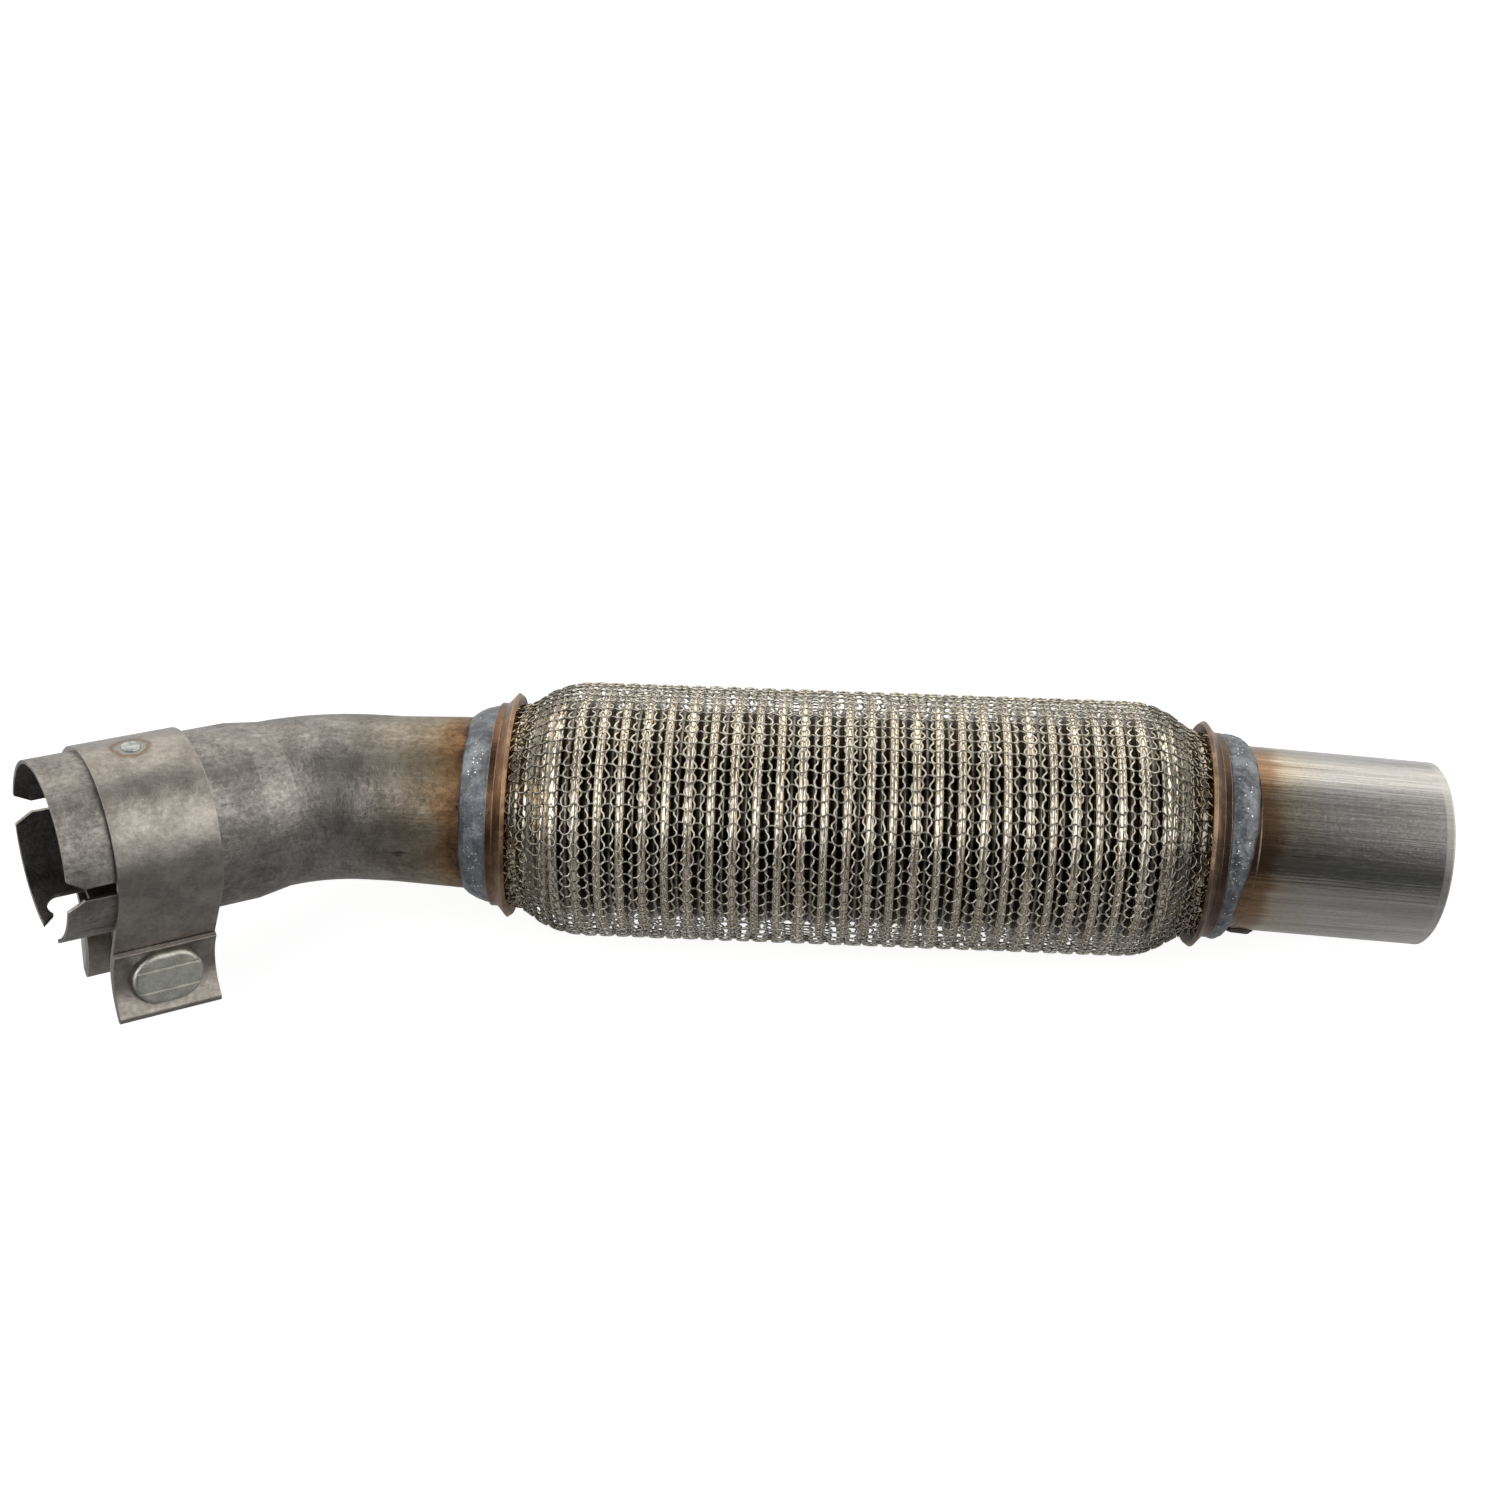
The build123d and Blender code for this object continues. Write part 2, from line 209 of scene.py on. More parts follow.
class Nodes:
    """Short way to add and link nodes in a shader or geometry tree."""

    def __init__(self, tree):
        self.tree = tree

    def add(self, kind, inputs=None, **settings):
        node = self.tree.nodes.new(kind)
        for name, value in settings.items():
            setattr(node, name, value)
        for name, value in (inputs or {}).items():
            self.set(node.inputs[name], value)
        return node

    def set(self, socket, value):
        if isinstance(value, bpy.types.Node):
            value = value.outputs[0]
        if isinstance(value, bpy.types.NodeSocket):
            self.tree.links.new(value, socket)
        else:
            socket.default_value = value

    def link(self, source, target):
        self.tree.links.new(source, target)

    def math(self, operation, *values, clamp=False):
        kind = "ShaderNodeMath"
        return self.add(kind, dict(enumerate(values)), operation=operation, use_clamp=clamp).outputs[0]

    def chain(self, operation, value, *others):
        for other in others:
            value = self.math(operation, value, other)
        return value

    def plus(self, *values):
        return self.chain("ADD", *values)

    def minus(self, *values):
        return self.chain("SUBTRACT", *values)

    def times(self, *values):
        return self.chain("MULTIPLY", *values)

    def over(self, value, divisor):
        return self.math("DIVIDE", value, divisor)

    def vector(self, operation, *values):
        node = self.add("ShaderNodeVectorMath", dict(enumerate(values)), operation=operation)
        return node.outputs["Value" if operation in ("LENGTH", "DOT_PRODUCT") else "Vector"]

    def combine(self, x=0.0, y=0.0, z=0.0):
        return self.add("ShaderNodeCombineXYZ", {"X": x, "Y": y, "Z": z}).outputs[0]

    def separate(self, vector):
        return self.add("ShaderNodeSeparateXYZ", {"Vector": vector}).outputs

    def range(self, value, low, high, to_low=0.0, to_high=1.0, smooth=False):
        kind = "SMOOTHSTEP" if smooth else "LINEAR"
        node = self.add("ShaderNodeMapRange", interpolation_type=kind)
        for name, amount in zip(("Value", "From Min", "From Max", "To Min", "To Max"),
                                (value, low, high, to_low, to_high)):
            self.set(node.inputs[name], amount)
        return node.outputs["Result"]

    def between(self, mask, low, high):
        """Number between two others, as far along as a mask says."""
        return self.range(mask, 0.0, 1.0, low, high)

    def noise(self, vector, scale, detail=3.0, roughness=0.55):
        return self.add("ShaderNodeTexNoise", {
            "Vector": vector, "Scale": scale, "Detail": detail, "Roughness": roughness}).outputs[0]

    def ramp(self, value, *stops):
        """Colour ramp with (position, grey or colour) stops."""
        node = self.add("ShaderNodeValToRGB", {"Fac": value})
        elements = node.color_ramp.elements
        while len(elements) < len(stops):
            elements.new(0.5)
        for element, (position, colour) in zip(elements, stops):
            element.position = position
            shade = colour if isinstance(colour, tuple) else (colour, colour, colour)
            element.color = (*shade, 1.0)
        return node.outputs["Color"]

    def mix(self, factor, first, second, blend="MIX"):
        node = self.add("ShaderNodeMix", data_type="RGBA", blend_type=blend)
        colours = [socket for socket in node.inputs if socket.type == "RGBA"]
        self.set(node.inputs[0], factor)
        for socket, value in zip(colours, (first, second)):
            self.set(socket, (*value, 1.0) if isinstance(value, tuple) else value)
        return next(socket for socket in node.outputs if socket.type == "RGBA")

    def tinted(self, colour, tint):
        return self.mix(1.0, colour, tint, "MULTIPLY")

    def shaded(self, colour, mask, low, high):
        """Colour made darker or lighter between two factors by a mask."""
        factor = self.between(mask, low, high)
        return self.tinted(colour, self.combine(factor, factor, factor))

    def coated(self, colour, coat, mask, strength):
        """Colour with a coat over it where a mask is, up to a strength."""
        return self.mix(self.times(mask, strength), colour, coat)


def group_tree(name, kind, inputs, outputs):
    """New node group with its sockets; returns its Nodes, its input sockets and its output node."""
    tree = bpy.data.node_groups.new(name, kind)
    for label, socket_type, default in inputs:
        socket = tree.interface.new_socket(label, in_out="INPUT", socket_type=socket_type)
        if default is not None:
            socket.default_value = default
    for label, socket_type in outputs:
        tree.interface.new_socket(label, in_out="OUTPUT", socket_type=socket_type)
    nodes = Nodes(tree)
    return nodes, nodes.add("NodeGroupInput").outputs, nodes.add("NodeGroupOutput")


def mesh_object(name, mesh):
    piece = bpy.data.objects.new(name, mesh)
    bpy.context.scene.collection.objects.link(piece)
    return piece


def empty_mesh(name):
    return mesh_object(name, bpy.data.meshes.new(name))


def dress(piece, slot, *nodes):
    """The finished piece rides on the pipe and stands for its CAD nodes."""
    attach(piece, "root")
    if nodes:
        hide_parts(*nodes)


def refinish(material, *names):
    """Gives the CAD nodes their finish."""
    for name in names:
        node = frame["nodes"].get(name)
        if node is None:
            raise RuntimeError(f"the frame has no node {name}")
        for slot in node.material_slots:
            slot.material = material


def settle(name, tree, values):
    """Evaluates a geometry tree on an empty mesh object and keeps the result as a plain mesh piece."""
    holder = empty_mesh(name)
    modifier = holder.modifiers.new("Shape", "NODES")
    modifier.node_group = tree
    sockets = {item.name: item.identifier for item in tree.interface.items_tree if item.in_out == "INPUT"}
    for label, value in values.items():
        modifier[sockets[label]] = value
    graph = bpy.context.evaluated_depsgraph_get()
    mesh = bpy.data.meshes.new_from_object(holder.evaluated_get(graph))
    holder.modifiers.remove(modifier)
    empty = holder.data
    holder.data = mesh
    bpy.data.meshes.remove(empty)
    mesh.name = name
    return holder


def face_outwards(mesh):
    bm = bmesh.new()
    bm.from_mesh(mesh)
    bmesh.ops.recalc_face_normals(bm, faces=bm.faces)
    bm.to_mesh(mesh)
    bm.free()


def ring_point(place, along, radius, angle):
    """Point round a place's X axis, from millimetres."""
    return place @ (Vector((along, radius * cos(angle), radius * sin(angle))) * MM)


def join_rings(bm, rings):
    """Faces between each ring of points and the next, all the way round."""
    for ring, following in zip(rings, rings[1:] + rings[:1]):
        for index in range(len(ring)):
            after = (index + 1) % len(ring)
            bm.faces.new((ring[index], ring[after], following[after], following[index]))


def smooth_piece(name, bm, material):
    """Piece made of a bmesh, smooth and with its faces turned outwards."""
    for face in bm.faces:
        face.smooth = True
    bmesh.ops.recalc_face_normals(bm, faces=bm.faces)
    mesh = bpy.data.meshes.new(name)
    bm.to_mesh(mesh)
    bm.free()
    mesh.materials.append(material)
    return mesh_object(name, mesh)


class SleeveSettings(bpy.types.PropertyGroup):
    """Knitted wire sleeve."""

    rows_round: IntProperty(name="Rows Round", description="Rows of stitches round the sleeve", default=58)
    stitches: IntProperty(name="Stitches", description="Stitches along one row", default=42)
    wire_radius: FloatProperty(name="Wire Radius", description="Half the thickness of the wire",
                               default=0.27 * MM, unit="LENGTH", precision=5)
    loop_radius: FloatProperty(name="Loop Radius", description="Radius of a stitch's head and foot",
                               default=1.84 * MM, unit="LENGTH", precision=5)
    loop_height: FloatProperty(name="Loop Height", description="Height of a stitch round the sleeve",
                               default=5.15 * MM, unit="LENGTH", precision=5)
    loop_depth: FloatProperty(name="Loop Depth", description="How far a stitch's head stands out",
                              default=0.34 * MM, unit="LENGTH", precision=5)
    unevenness: FloatProperty(name="Unevenness", description="Drift of the stitches", default=1.0)
    colour: FloatVectorProperty(name="Wire Colour", description="Colour of the wire", subtype="COLOR",
                                default=steel_colours["mesh_wire"])


class BellowsSettings(bpy.types.PropertyGroup):
    """Corrugated bellows under the sleeve."""

    convolutions: IntProperty(name="Convolutions", description="Number of round-topped folds", default=28)
    length: FloatProperty(name="Length", description="Length of the folded part",
                          default=182 * MM, unit="LENGTH", precision=5)
    crest_radius: FloatProperty(name="Crest Radius", description="Radius over the folds",
                                default=36.85 * MM, unit="LENGTH", precision=5)
    valley_radius: FloatProperty(name="Valley Radius", description="Radius between the folds",
                                 default=31.2 * MM, unit="LENGTH", precision=5)
    bore_radius: FloatProperty(name="Bore Radius", description="Radius inside the folds",
                               default=30.7 * MM, unit="LENGTH", precision=5)
    colour: FloatVectorProperty(name="Strip Colour", description="Colour of the strip", subtype="COLOR",
                                default=steel_colours["bellows_steel"])


class WeldSettings(bpy.types.PropertyGroup):
    """Weld beads and end collars."""

    crown: FloatProperty(name="Crown", description="Height of a bead over its feet",
                         default=2.0 * MM, unit="LENGTH", precision=5)
    outlet_roughness: FloatProperty(name="Outlet Lumps", description="Lumps on the outlet's bead",
                                    default=0.42 * MM, unit="LENGTH", precision=5)
    inlet_roughness: FloatProperty(name="Inlet Lumps", description="Lumps on the inlet's bead",
                                   default=0.14 * MM, unit="LENGTH", precision=5)
    slate: FloatVectorProperty(name="Weld Colour", description="Colour of the weld's skin", subtype="COLOR",
                               default=steel_colours["weld_metal"])
    collar: FloatVectorProperty(name="Collar Colour", description="Colour of the tinted collars",
                                subtype="COLOR", default=steel_colours["collar_steel"])


class TubeSettings(bpy.types.PropertyGroup):
    """Inlet and outlet tubes with their liner."""

    inlet_colour: FloatVectorProperty(name="Inlet Steel", description="Colour of the bent tube",
                                      subtype="COLOR", default=steel_colours["inlet_tube"])
    outlet_colour: FloatVectorProperty(name="Outlet Steel", description="Colour of the straight tube",
                                       subtype="COLOR", default=steel_colours["outlet_tube"])
    liner_colour: FloatVectorProperty(name="Liner Steel", description="Colour of the inner strip",
                                      subtype="COLOR", default=steel_colours["liner_steel"])
    inlet_tint: FloatProperty(name="Inlet Tint", description="Length of the heat tint on the bent tube",
                              default=42 * MM, unit="LENGTH", precision=5)
    outlet_tint: FloatProperty(name="Outlet Tint", description="Length of the heat tint on the spigot",
                               default=24 * MM, unit="LENGTH", precision=5)


class ClampSettings(bpy.types.PropertyGroup):
    """Band clamp with its screw, nut and spacer."""

    band_colour: FloatVectorProperty(name="Band Colour", description="Colour of the band", subtype="COLOR",
                                     default=steel_colours["clamp_steel"])
    fastener_colour: FloatVectorProperty(name="Fastener Colour", description="Colour of the screw and nut",
                                         subtype="COLOR", default=steel_colours["fastener_steel"])
    spacer_colour: FloatVectorProperty(name="Spacer Colour", description="Colour of the block",
                                       subtype="COLOR", default=steel_colours["spacer_steel"])
    weld_ring: FloatProperty(name="Weld Ring", description="Radius of the burnt ring round the spot weld",
                             default=6.4 * MM, unit="LENGTH", precision=5)
    thread_pitch: FloatProperty(name="Thread Pitch", description="Distance between the screw's threads",
                                default=1.25 * MM, unit="LENGTH", precision=5)
    thread_radius: FloatProperty(name="Thread Radius", description="Radius of the thread's crest line",
                                 default=3.98 * MM, unit="LENGTH", precision=5)


class StudioSettings(bpy.types.PropertyGroup):
    """Floor, lamps and camera."""

    softbox_power: FloatProperty(name="Softbox Power", description="Power of each tall softbox", default=2.1,
                                 unit="POWER")
    room_level: FloatProperty(name="Room Level", description="Light that the room gives to matt surfaces",
                              default=0.26)
    panel_level: FloatProperty(name="Panel Level", default=1.8,
                               description="Brightness that metal sees in the room's panels")
    floor_colour: FloatVectorProperty(name="Floor Colour", description="Colour of the paper floor",
                                      subtype="COLOR", default=(0.5, 0.5, 0.5))
    lens: FloatProperty(name="Lens", description="Focal length in millimetres", default=50.0)
    sensor: FloatProperty(name="Sensor", description="Width of the film in millimetres", default=36.0)


def blotches_group():
    """Soft stains and fine mottling; the size of a stain is in millimetres."""
    nodes, given, out = group_tree("Blotches", "ShaderNodeTree", [
        ("Vector", "NodeSocketVector", None),
        ("Size", "NodeSocketFloat", 10.0),
    ], [("Stains", "NodeSocketFloat"), ("Mottle", "NodeSocketFloat"), ("Specks", "NodeSocketFloat")])
    scale = nodes.over(1.0, given["Size"])
    broad = nodes.noise(given["Vector"], scale, 5.0, 0.62)
    fine = nodes.noise(given["Vector"], nodes.times(scale, 7.0), 4.0, 0.7)
    dust = nodes.noise(given["Vector"], nodes.times(scale, 22.0), 2.0, 0.6)
    nodes.link(nodes.range(broad, 0.36, 0.64, smooth=True), out.inputs["Stains"])
    nodes.link(nodes.range(fine, 0.3, 0.7), out.inputs["Mottle"])
    nodes.link(nodes.range(dust, 0.62, 0.74, smooth=True), out.inputs["Specks"])
    return nodes.tree


def drawn_lines_group():
    """Lines along a tube's X axis, as drawing and sliding leave them; their spacing is in millimetres."""
    nodes, given, out = group_tree("Drawn Lines", "ShaderNodeTree", [
        ("Vector", "NodeSocketVector", None),
        ("Spacing", "NodeSocketFloat", 1.0),
        ("Stretch", "NodeSocketFloat", 0.02),
    ], [("Lines", "NodeSocketFloat"), ("Scores", "NodeSocketFloat")])
    along = nodes.vector("MULTIPLY", given["Vector"], nodes.combine(given["Stretch"], 1.0, 1.0))
    aside = nodes.vector("ADD", along, (31.0, 7.0, 3.0))
    scale = nodes.over(1.0, given["Spacing"])
    lines = nodes.noise(along, scale, 4.0, 0.7)
    scores = nodes.noise(aside, nodes.times(scale, 0.55), 6.0, 0.75)
    nodes.link(nodes.range(lines, 0.3, 0.7), out.inputs["Lines"])
    nodes.link(nodes.range(scores, 0.6, 0.7, smooth=True), out.inputs["Scores"])
    return nodes.tree


def heat_tint_group():
    """Colours that heat leaves beside a weld, from burnt brown through gold to plain steel."""
    nodes, given, out = group_tree("Heat Tint", "ShaderNodeTree", [
        ("Steel", "NodeSocketColor", (0.4, 0.4, 0.4, 1.0)),
        ("Distance", "NodeSocketFloat", 0.0),
        ("Reach", "NodeSocketFloat", 20.0),
    ], [("Colour", "NodeSocketColor")])
    share = nodes.math("DIVIDE", given["Distance"], given["Reach"], clamp=True)
    tint = nodes.ramp(share, (0.0, (0.30, 0.17, 0.13)), (0.035, (0.62, 0.36, 0.22)),
                      (0.12, (0.88, 0.54, 0.30)), (0.21, (1.0, 0.71, 0.43)), (0.32, (0.97, 0.84, 0.65)),
                      (0.6, (0.98, 0.93, 0.82)), (1.0, (1.0, 1.0, 1.0)))
    nodes.link(nodes.tinted(given["Steel"], tint), out.inputs["Colour"])
    return nodes.tree


def edge_wear_highlight_group():
    """Rubbed edges, lightened as wear and as a painted highlight: the surface turned over a small radius, and
    a mask of where it turns.
    """
    nodes, given, out = group_tree("Edge Wear and Highlight", "ShaderNodeTree", [
        ("Vector", "NodeSocketVector", None),
        ("Radius", "NodeSocketFloat", 0.3 * MM),
    ], [("Worn and Lit", "NodeSocketFloat"), ("Normal", "NodeSocketVector")])
    rounded = nodes.add("ShaderNodeBevel", {"Radius": given["Radius"]}, samples=6)
    flat = nodes.add("ShaderNodeNewGeometry").outputs["True Normal"]
    edge = nodes.range(nodes.vector("DOT_PRODUCT", rounded, flat), 0.985, 0.86, smooth=True)
    patch = nodes.range(nodes.noise(given["Vector"], 0.35, 4.0, 0.7), 0.32, 0.6, 0.25, 1.0)
    nodes.link(nodes.times(edge, patch), out.inputs["Worn and Lit"])
    nodes.link(rounded.outputs[0], out.inputs["Normal"])
    return nodes.tree


def spatter_group():
    """Small round drops scattered over a surface; the size of a drop is in millimetres."""
    nodes, given, out = group_tree("Spatter", "ShaderNodeTree", [
        ("Vector", "NodeSocketVector", None),
        ("Size", "NodeSocketFloat", 1.0),
        ("Share", "NodeSocketFloat", 0.3),
    ], [("Drops", "NodeSocketFloat")])
    cell = nodes.add("ShaderNodeTexVoronoi", {
        "Vector": given["Vector"], "Scale": nodes.over(0.5, given["Size"])})
    chance = nodes.math("LESS_THAN", nodes.separate(cell.outputs["Color"])["X"], given["Share"])
    drop = nodes.range(cell.outputs["Distance"], 0.18, 0.3, 1.0, 0.0, smooth=True)
    nodes.link(nodes.times(drop, chance), out.inputs["Drops"])
    return nodes.tree


effect_builders = {
    "Blotches": blotches_group,
    "Drawn Lines": drawn_lines_group,
    "Heat Tint": heat_tint_group,
    "Edge Wear and Highlight": edge_wear_highlight_group,
    "Spatter": spatter_group,
}


def effect(nodes, name, **inputs):
    """A shared shader group placed in a material; returns its outputs."""
    tree = bpy.data.node_groups.get(name) or effect_builders[name]()
    return nodes.add("ShaderNodeGroup", inputs, node_tree=tree).outputs


def steel(name):
    """New metal material; returns it with its nodes and its Principled shader."""
    material = bpy.data.materials.new(name)
    material.use_nodes = True
    shader = material.node_tree.nodes["Principled BSDF"]
    shader.inputs["Metallic"].default_value = 1.0
    return material, Nodes(material.node_tree), shader


def finish(nodes, shader, colour, roughness, height=None, depth=0.1, normal=None, metallic=None):
    """Feeds a material's shader; the height is turned to relief of a depth in millimetres."""
    nodes.set(shader.inputs["Base Color"], colour)
    nodes.set(shader.inputs["Roughness"], roughness)
    if metallic is not None:
        nodes.set(shader.inputs["Metallic"], metallic)
    if height is not None:
        bump = nodes.add("ShaderNodeBump", {"Height": height, "Distance": depth * MM})
        if normal is not None:
            nodes.link(normal, bump.inputs["Normal"])
        normal = bump.outputs[0]
    if normal is not None:
        nodes.link(normal, shader.inputs["Normal"])


def place_in(nodes, place):
    """Object coordinates in millimetres from a place, along its own axes."""
    inverse = place.inverted()
    texture = nodes.add("ShaderNodeTexCoord")
    return nodes.add("ShaderNodeMapping", {
        "Vector": texture.outputs["Object"], "Location": inverse.translation / MM,
        "Rotation": inverse.to_euler("XYZ"), "Scale": (1 / MM, 1 / MM, 1 / MM)}).outputs[0]


def off_axis(nodes, spot):
    """Distance from the X axis of a place."""
    return nodes.vector("LENGTH", nodes.combine(0.0, spot["Y"], spot["Z"]))


def inlet_steel(settings):
    """Mottled tube with scale marks along it, browned towards the weld and sooty inside."""
    material, nodes, shader = steel("inlet_tube_steel")
    near = place_in(nodes, inlet_end)
    far = nodes.vector("ADD", place_in(nodes, bent_line), (bend_vertex, 0.0, 0.0))
    run = nodes.plus(nodes.separate(near)["X"], nodes.separate(far)["X"])
    share = nodes.range(run, 2 * (bend_vertex - bend_reach), 2 * (bend_vertex + bend_reach), smooth=True)
    path = nodes.vector("ADD", near, nodes.vector("MULTIPLY", nodes.vector("SUBTRACT", far, near), share))
    spot = nodes.separate(path)
    stains = effect(nodes, "Blotches", Vector=path, Size=11.0)
    lines = effect(nodes, "Drawn Lines", Vector=path, Spacing=0.9, Stretch=0.05)
    scale_marks = effect(nodes, "Drawn Lines", Vector=path, Spacing=2.6, Stretch=0.16)
    wear_and_highlight = effect(nodes, "Edge Wear and Highlight", Vector=path, Radius=0.3 * MM)

    colour = nodes.shaded(tuple(settings.inlet_colour), stains["Stains"], 0.62, 0.94)
    colour = nodes.shaded(colour, stains["Mottle"], 0.68, 1.22)
    colour = nodes.shaded(colour, lines["Lines"], 0.84, 1.14)
    zone = nodes.range(nodes.noise(path, 0.045, 2.0), 0.47, 0.56, smooth=True)
    marks = nodes.times(scale_marks["Scores"], zone, 0.75)
    colour = nodes.mix(marks, colour, mill_scale)
    colour = nodes.coated(colour, tube_dirt, stains["Specks"], 0.45)
    ripple = nodes.range(nodes.noise(path, 0.09, 4.0, 0.65), 0.3, 0.7, -3.0, 7.0)
    distance = nodes.minus(nodes.plus(spot["X"], ripple), inlet_toe - 1.0)
    near_toe = nodes.times(nodes.minus(spot["X"], inlet_toe - 0.6), 4.0)
    distance = nodes.math("MAXIMUM", nodes.math("MINIMUM", distance, near_toe), 0.0)
    tint = effect(nodes, "Heat Tint", Steel=colour, Distance=distance, Reach=settings.inlet_tint / MM)
    # Edges lightened as rubbed steel and as a painted highlight
    colour = nodes.coated(tint["Colour"], rubbed_tube_highlight, wear_and_highlight["Worn and Lit"], 0.7)

    socket_start = bend_vertex + bend_reach
    wall = nodes.range(spot["X"], socket_start, socket_start + expansion,
                       tube_wall_middle, socket_wall_middle)
    wall = nodes.minus(wall, nodes.times(share, nodes.minus(1.0, share), 6 * bend_sag))
    inside = nodes.math("LESS_THAN", off_axis(nodes, spot), wall)
    colour = nodes.mix(inside, colour, nodes.shaded(colour, stains["Stains"], 0.6, 0.95))

    roughness = nodes.plus(nodes.between(stains["Mottle"], 0.50, 0.38), nodes.times(marks, 0.2))
    height = nodes.plus(nodes.times(stains["Mottle"], 0.35), nodes.times(lines["Lines"], 0.22),
                        nodes.times(stains["Stains"], 0.8))
    finish(nodes, shader, colour, roughness, height, 0.12, wear_and_highlight["Normal"])
    return material


def outlet_steel(settings):
    """Bright drawn tube with a brown band beside the weld and a pale rim."""
    material, nodes, shader = steel("outlet_tube_steel")
    path = place_in(nodes, outlet_end)
    spot = nodes.separate(path)
    stains = effect(nodes, "Blotches", Vector=path, Size=8.0)
    lines = effect(nodes, "Drawn Lines", Vector=path, Spacing=0.5, Stretch=0.012)
    broad = effect(nodes, "Drawn Lines", Vector=path, Spacing=2.4, Stretch=0.03)
    wear_and_highlight = effect(nodes, "Edge Wear and Highlight", Vector=path, Radius=0.35 * MM)

    colour = nodes.shaded(tuple(settings.outlet_colour), lines["Lines"], 0.70, 1.22)
    colour = nodes.shaded(colour, broad["Lines"], 0.78, 1.16)
    colour = nodes.shaded(colour, stains["Mottle"], 0.90, 1.08)
    colour = nodes.coated(colour, score_grey, lines["Scores"], 0.7)
    low = nodes.range(spot["Z"], -4.0, -22.0, smooth=True)
    rust = nodes.times(stains["Stains"], low, 0.55)
    colour = nodes.mix(rust, colour, rust_brown)
    colour = nodes.coated(colour, spigot_dirt, stains["Specks"], 0.4)

    tint_start = 24.0
    sway = nodes.range(nodes.noise(path, 0.07, 2.0, 0.5), 0.3, 0.7, -1.6, 1.6)
    streak = nodes.between(broad["Lines"], -1.8, 1.8)
    distance = nodes.minus(nodes.plus(spot["X"], sway, streak), tint_start)
    tint = effect(nodes, "Heat Tint", Steel=colour, Distance=nodes.math("MAXIMUM", distance, 0.3),
                  Reach=settings.outlet_tint / MM)
    burnt = nodes.range(distance, 5.0, 10.5, 1.0, 0.0, smooth=True)
    colour = nodes.coated(tint["Colour"], nodes.tinted(colour, burnt_tint), burnt, 0.78)
    outside = nodes.math("GREATER_THAN", off_axis(nodes, spot), spigot_radius - 1.0)
    rim = nodes.times(nodes.range(spot["X"], spigot_end - 3.0, spigot_end - 2.2, smooth=True), outside)
    colour = nodes.coated(colour, cut_rim, rim, 0.35)
    # Edges lightened as rubbed steel and as a painted highlight
    colour = nodes.coated(colour, rubbed_spigot_highlight, wear_and_highlight["Worn and Lit"], 0.6)
    colour = nodes.mix(outside, nodes.shaded(colour, stains["Stains"], 0.30, 0.5), colour)

    roughness = nodes.plus(nodes.between(lines["Lines"], 0.25, 0.16), nodes.times(rust, 0.35),
                           nodes.times(rim, 0.2))
    height = nodes.plus(nodes.times(lines["Lines"], 0.3), nodes.times(broad["Lines"], 0.7),
                        nodes.times(stains["Mottle"], 0.15))
    finish(nodes, shader, colour, roughness, height, 0.07, wear_and_highlight["Normal"])
    return material


def collar_steel(name, place, copper, tone):
    """Copper-brown collar, darker towards its weld, with gold and a painted highlight along its lip, and
    rubbed edges lightened as wear and as a painted highlight.
    """
    material, nodes, shader = steel(name)
    path = place_in(nodes, place)
    spot = nodes.separate(path)
    stains = effect(nodes, "Blotches", Vector=path, Size=7.0)
    wear_and_highlight = effect(nodes, "Edge Wear and Highlight", Vector=path, Radius=0.35 * MM)
    colour = nodes.shaded(tuple(copper), stains["Stains"], 0.55, 1.0)
    colour = nodes.shaded(colour, stains["Mottle"], 0.85, 1.12)
    # The tone darkens the outlet's copy more than the inlet's, as painted shade
    colour = nodes.tinted(colour, tone)
    # Gold along the lip, lightened as a painted highlight too
    lip = nodes.range(off_axis(nodes, spot), 31.4, 33.6)
    gold = nodes.times(lip, nodes.range(stains["Stains"], 0.3, 1.0, 0.25, 0.85))
    colour = nodes.coated(colour, lip_gold_highlight, gold, 0.5)
    scorched = nodes.range(spot["X"], collar_face - 2.2, collar_face - 0.2, smooth=True)
    colour = nodes.coated(colour, scorched_brown, scorched, 0.45)
    # Edges lightened as rubbed copper and as a painted highlight
    colour = nodes.coated(colour, rubbed_copper_highlight, wear_and_highlight["Worn and Lit"], 0.65)
    height = nodes.plus(nodes.times(stains["Stains"], 0.7), stains["Mottle"])
    finish(nodes, shader, colour, nodes.between(stains["Mottle"], 0.36, 0.26), height, 0.05, wear_and_highlight["Normal"])
    return material


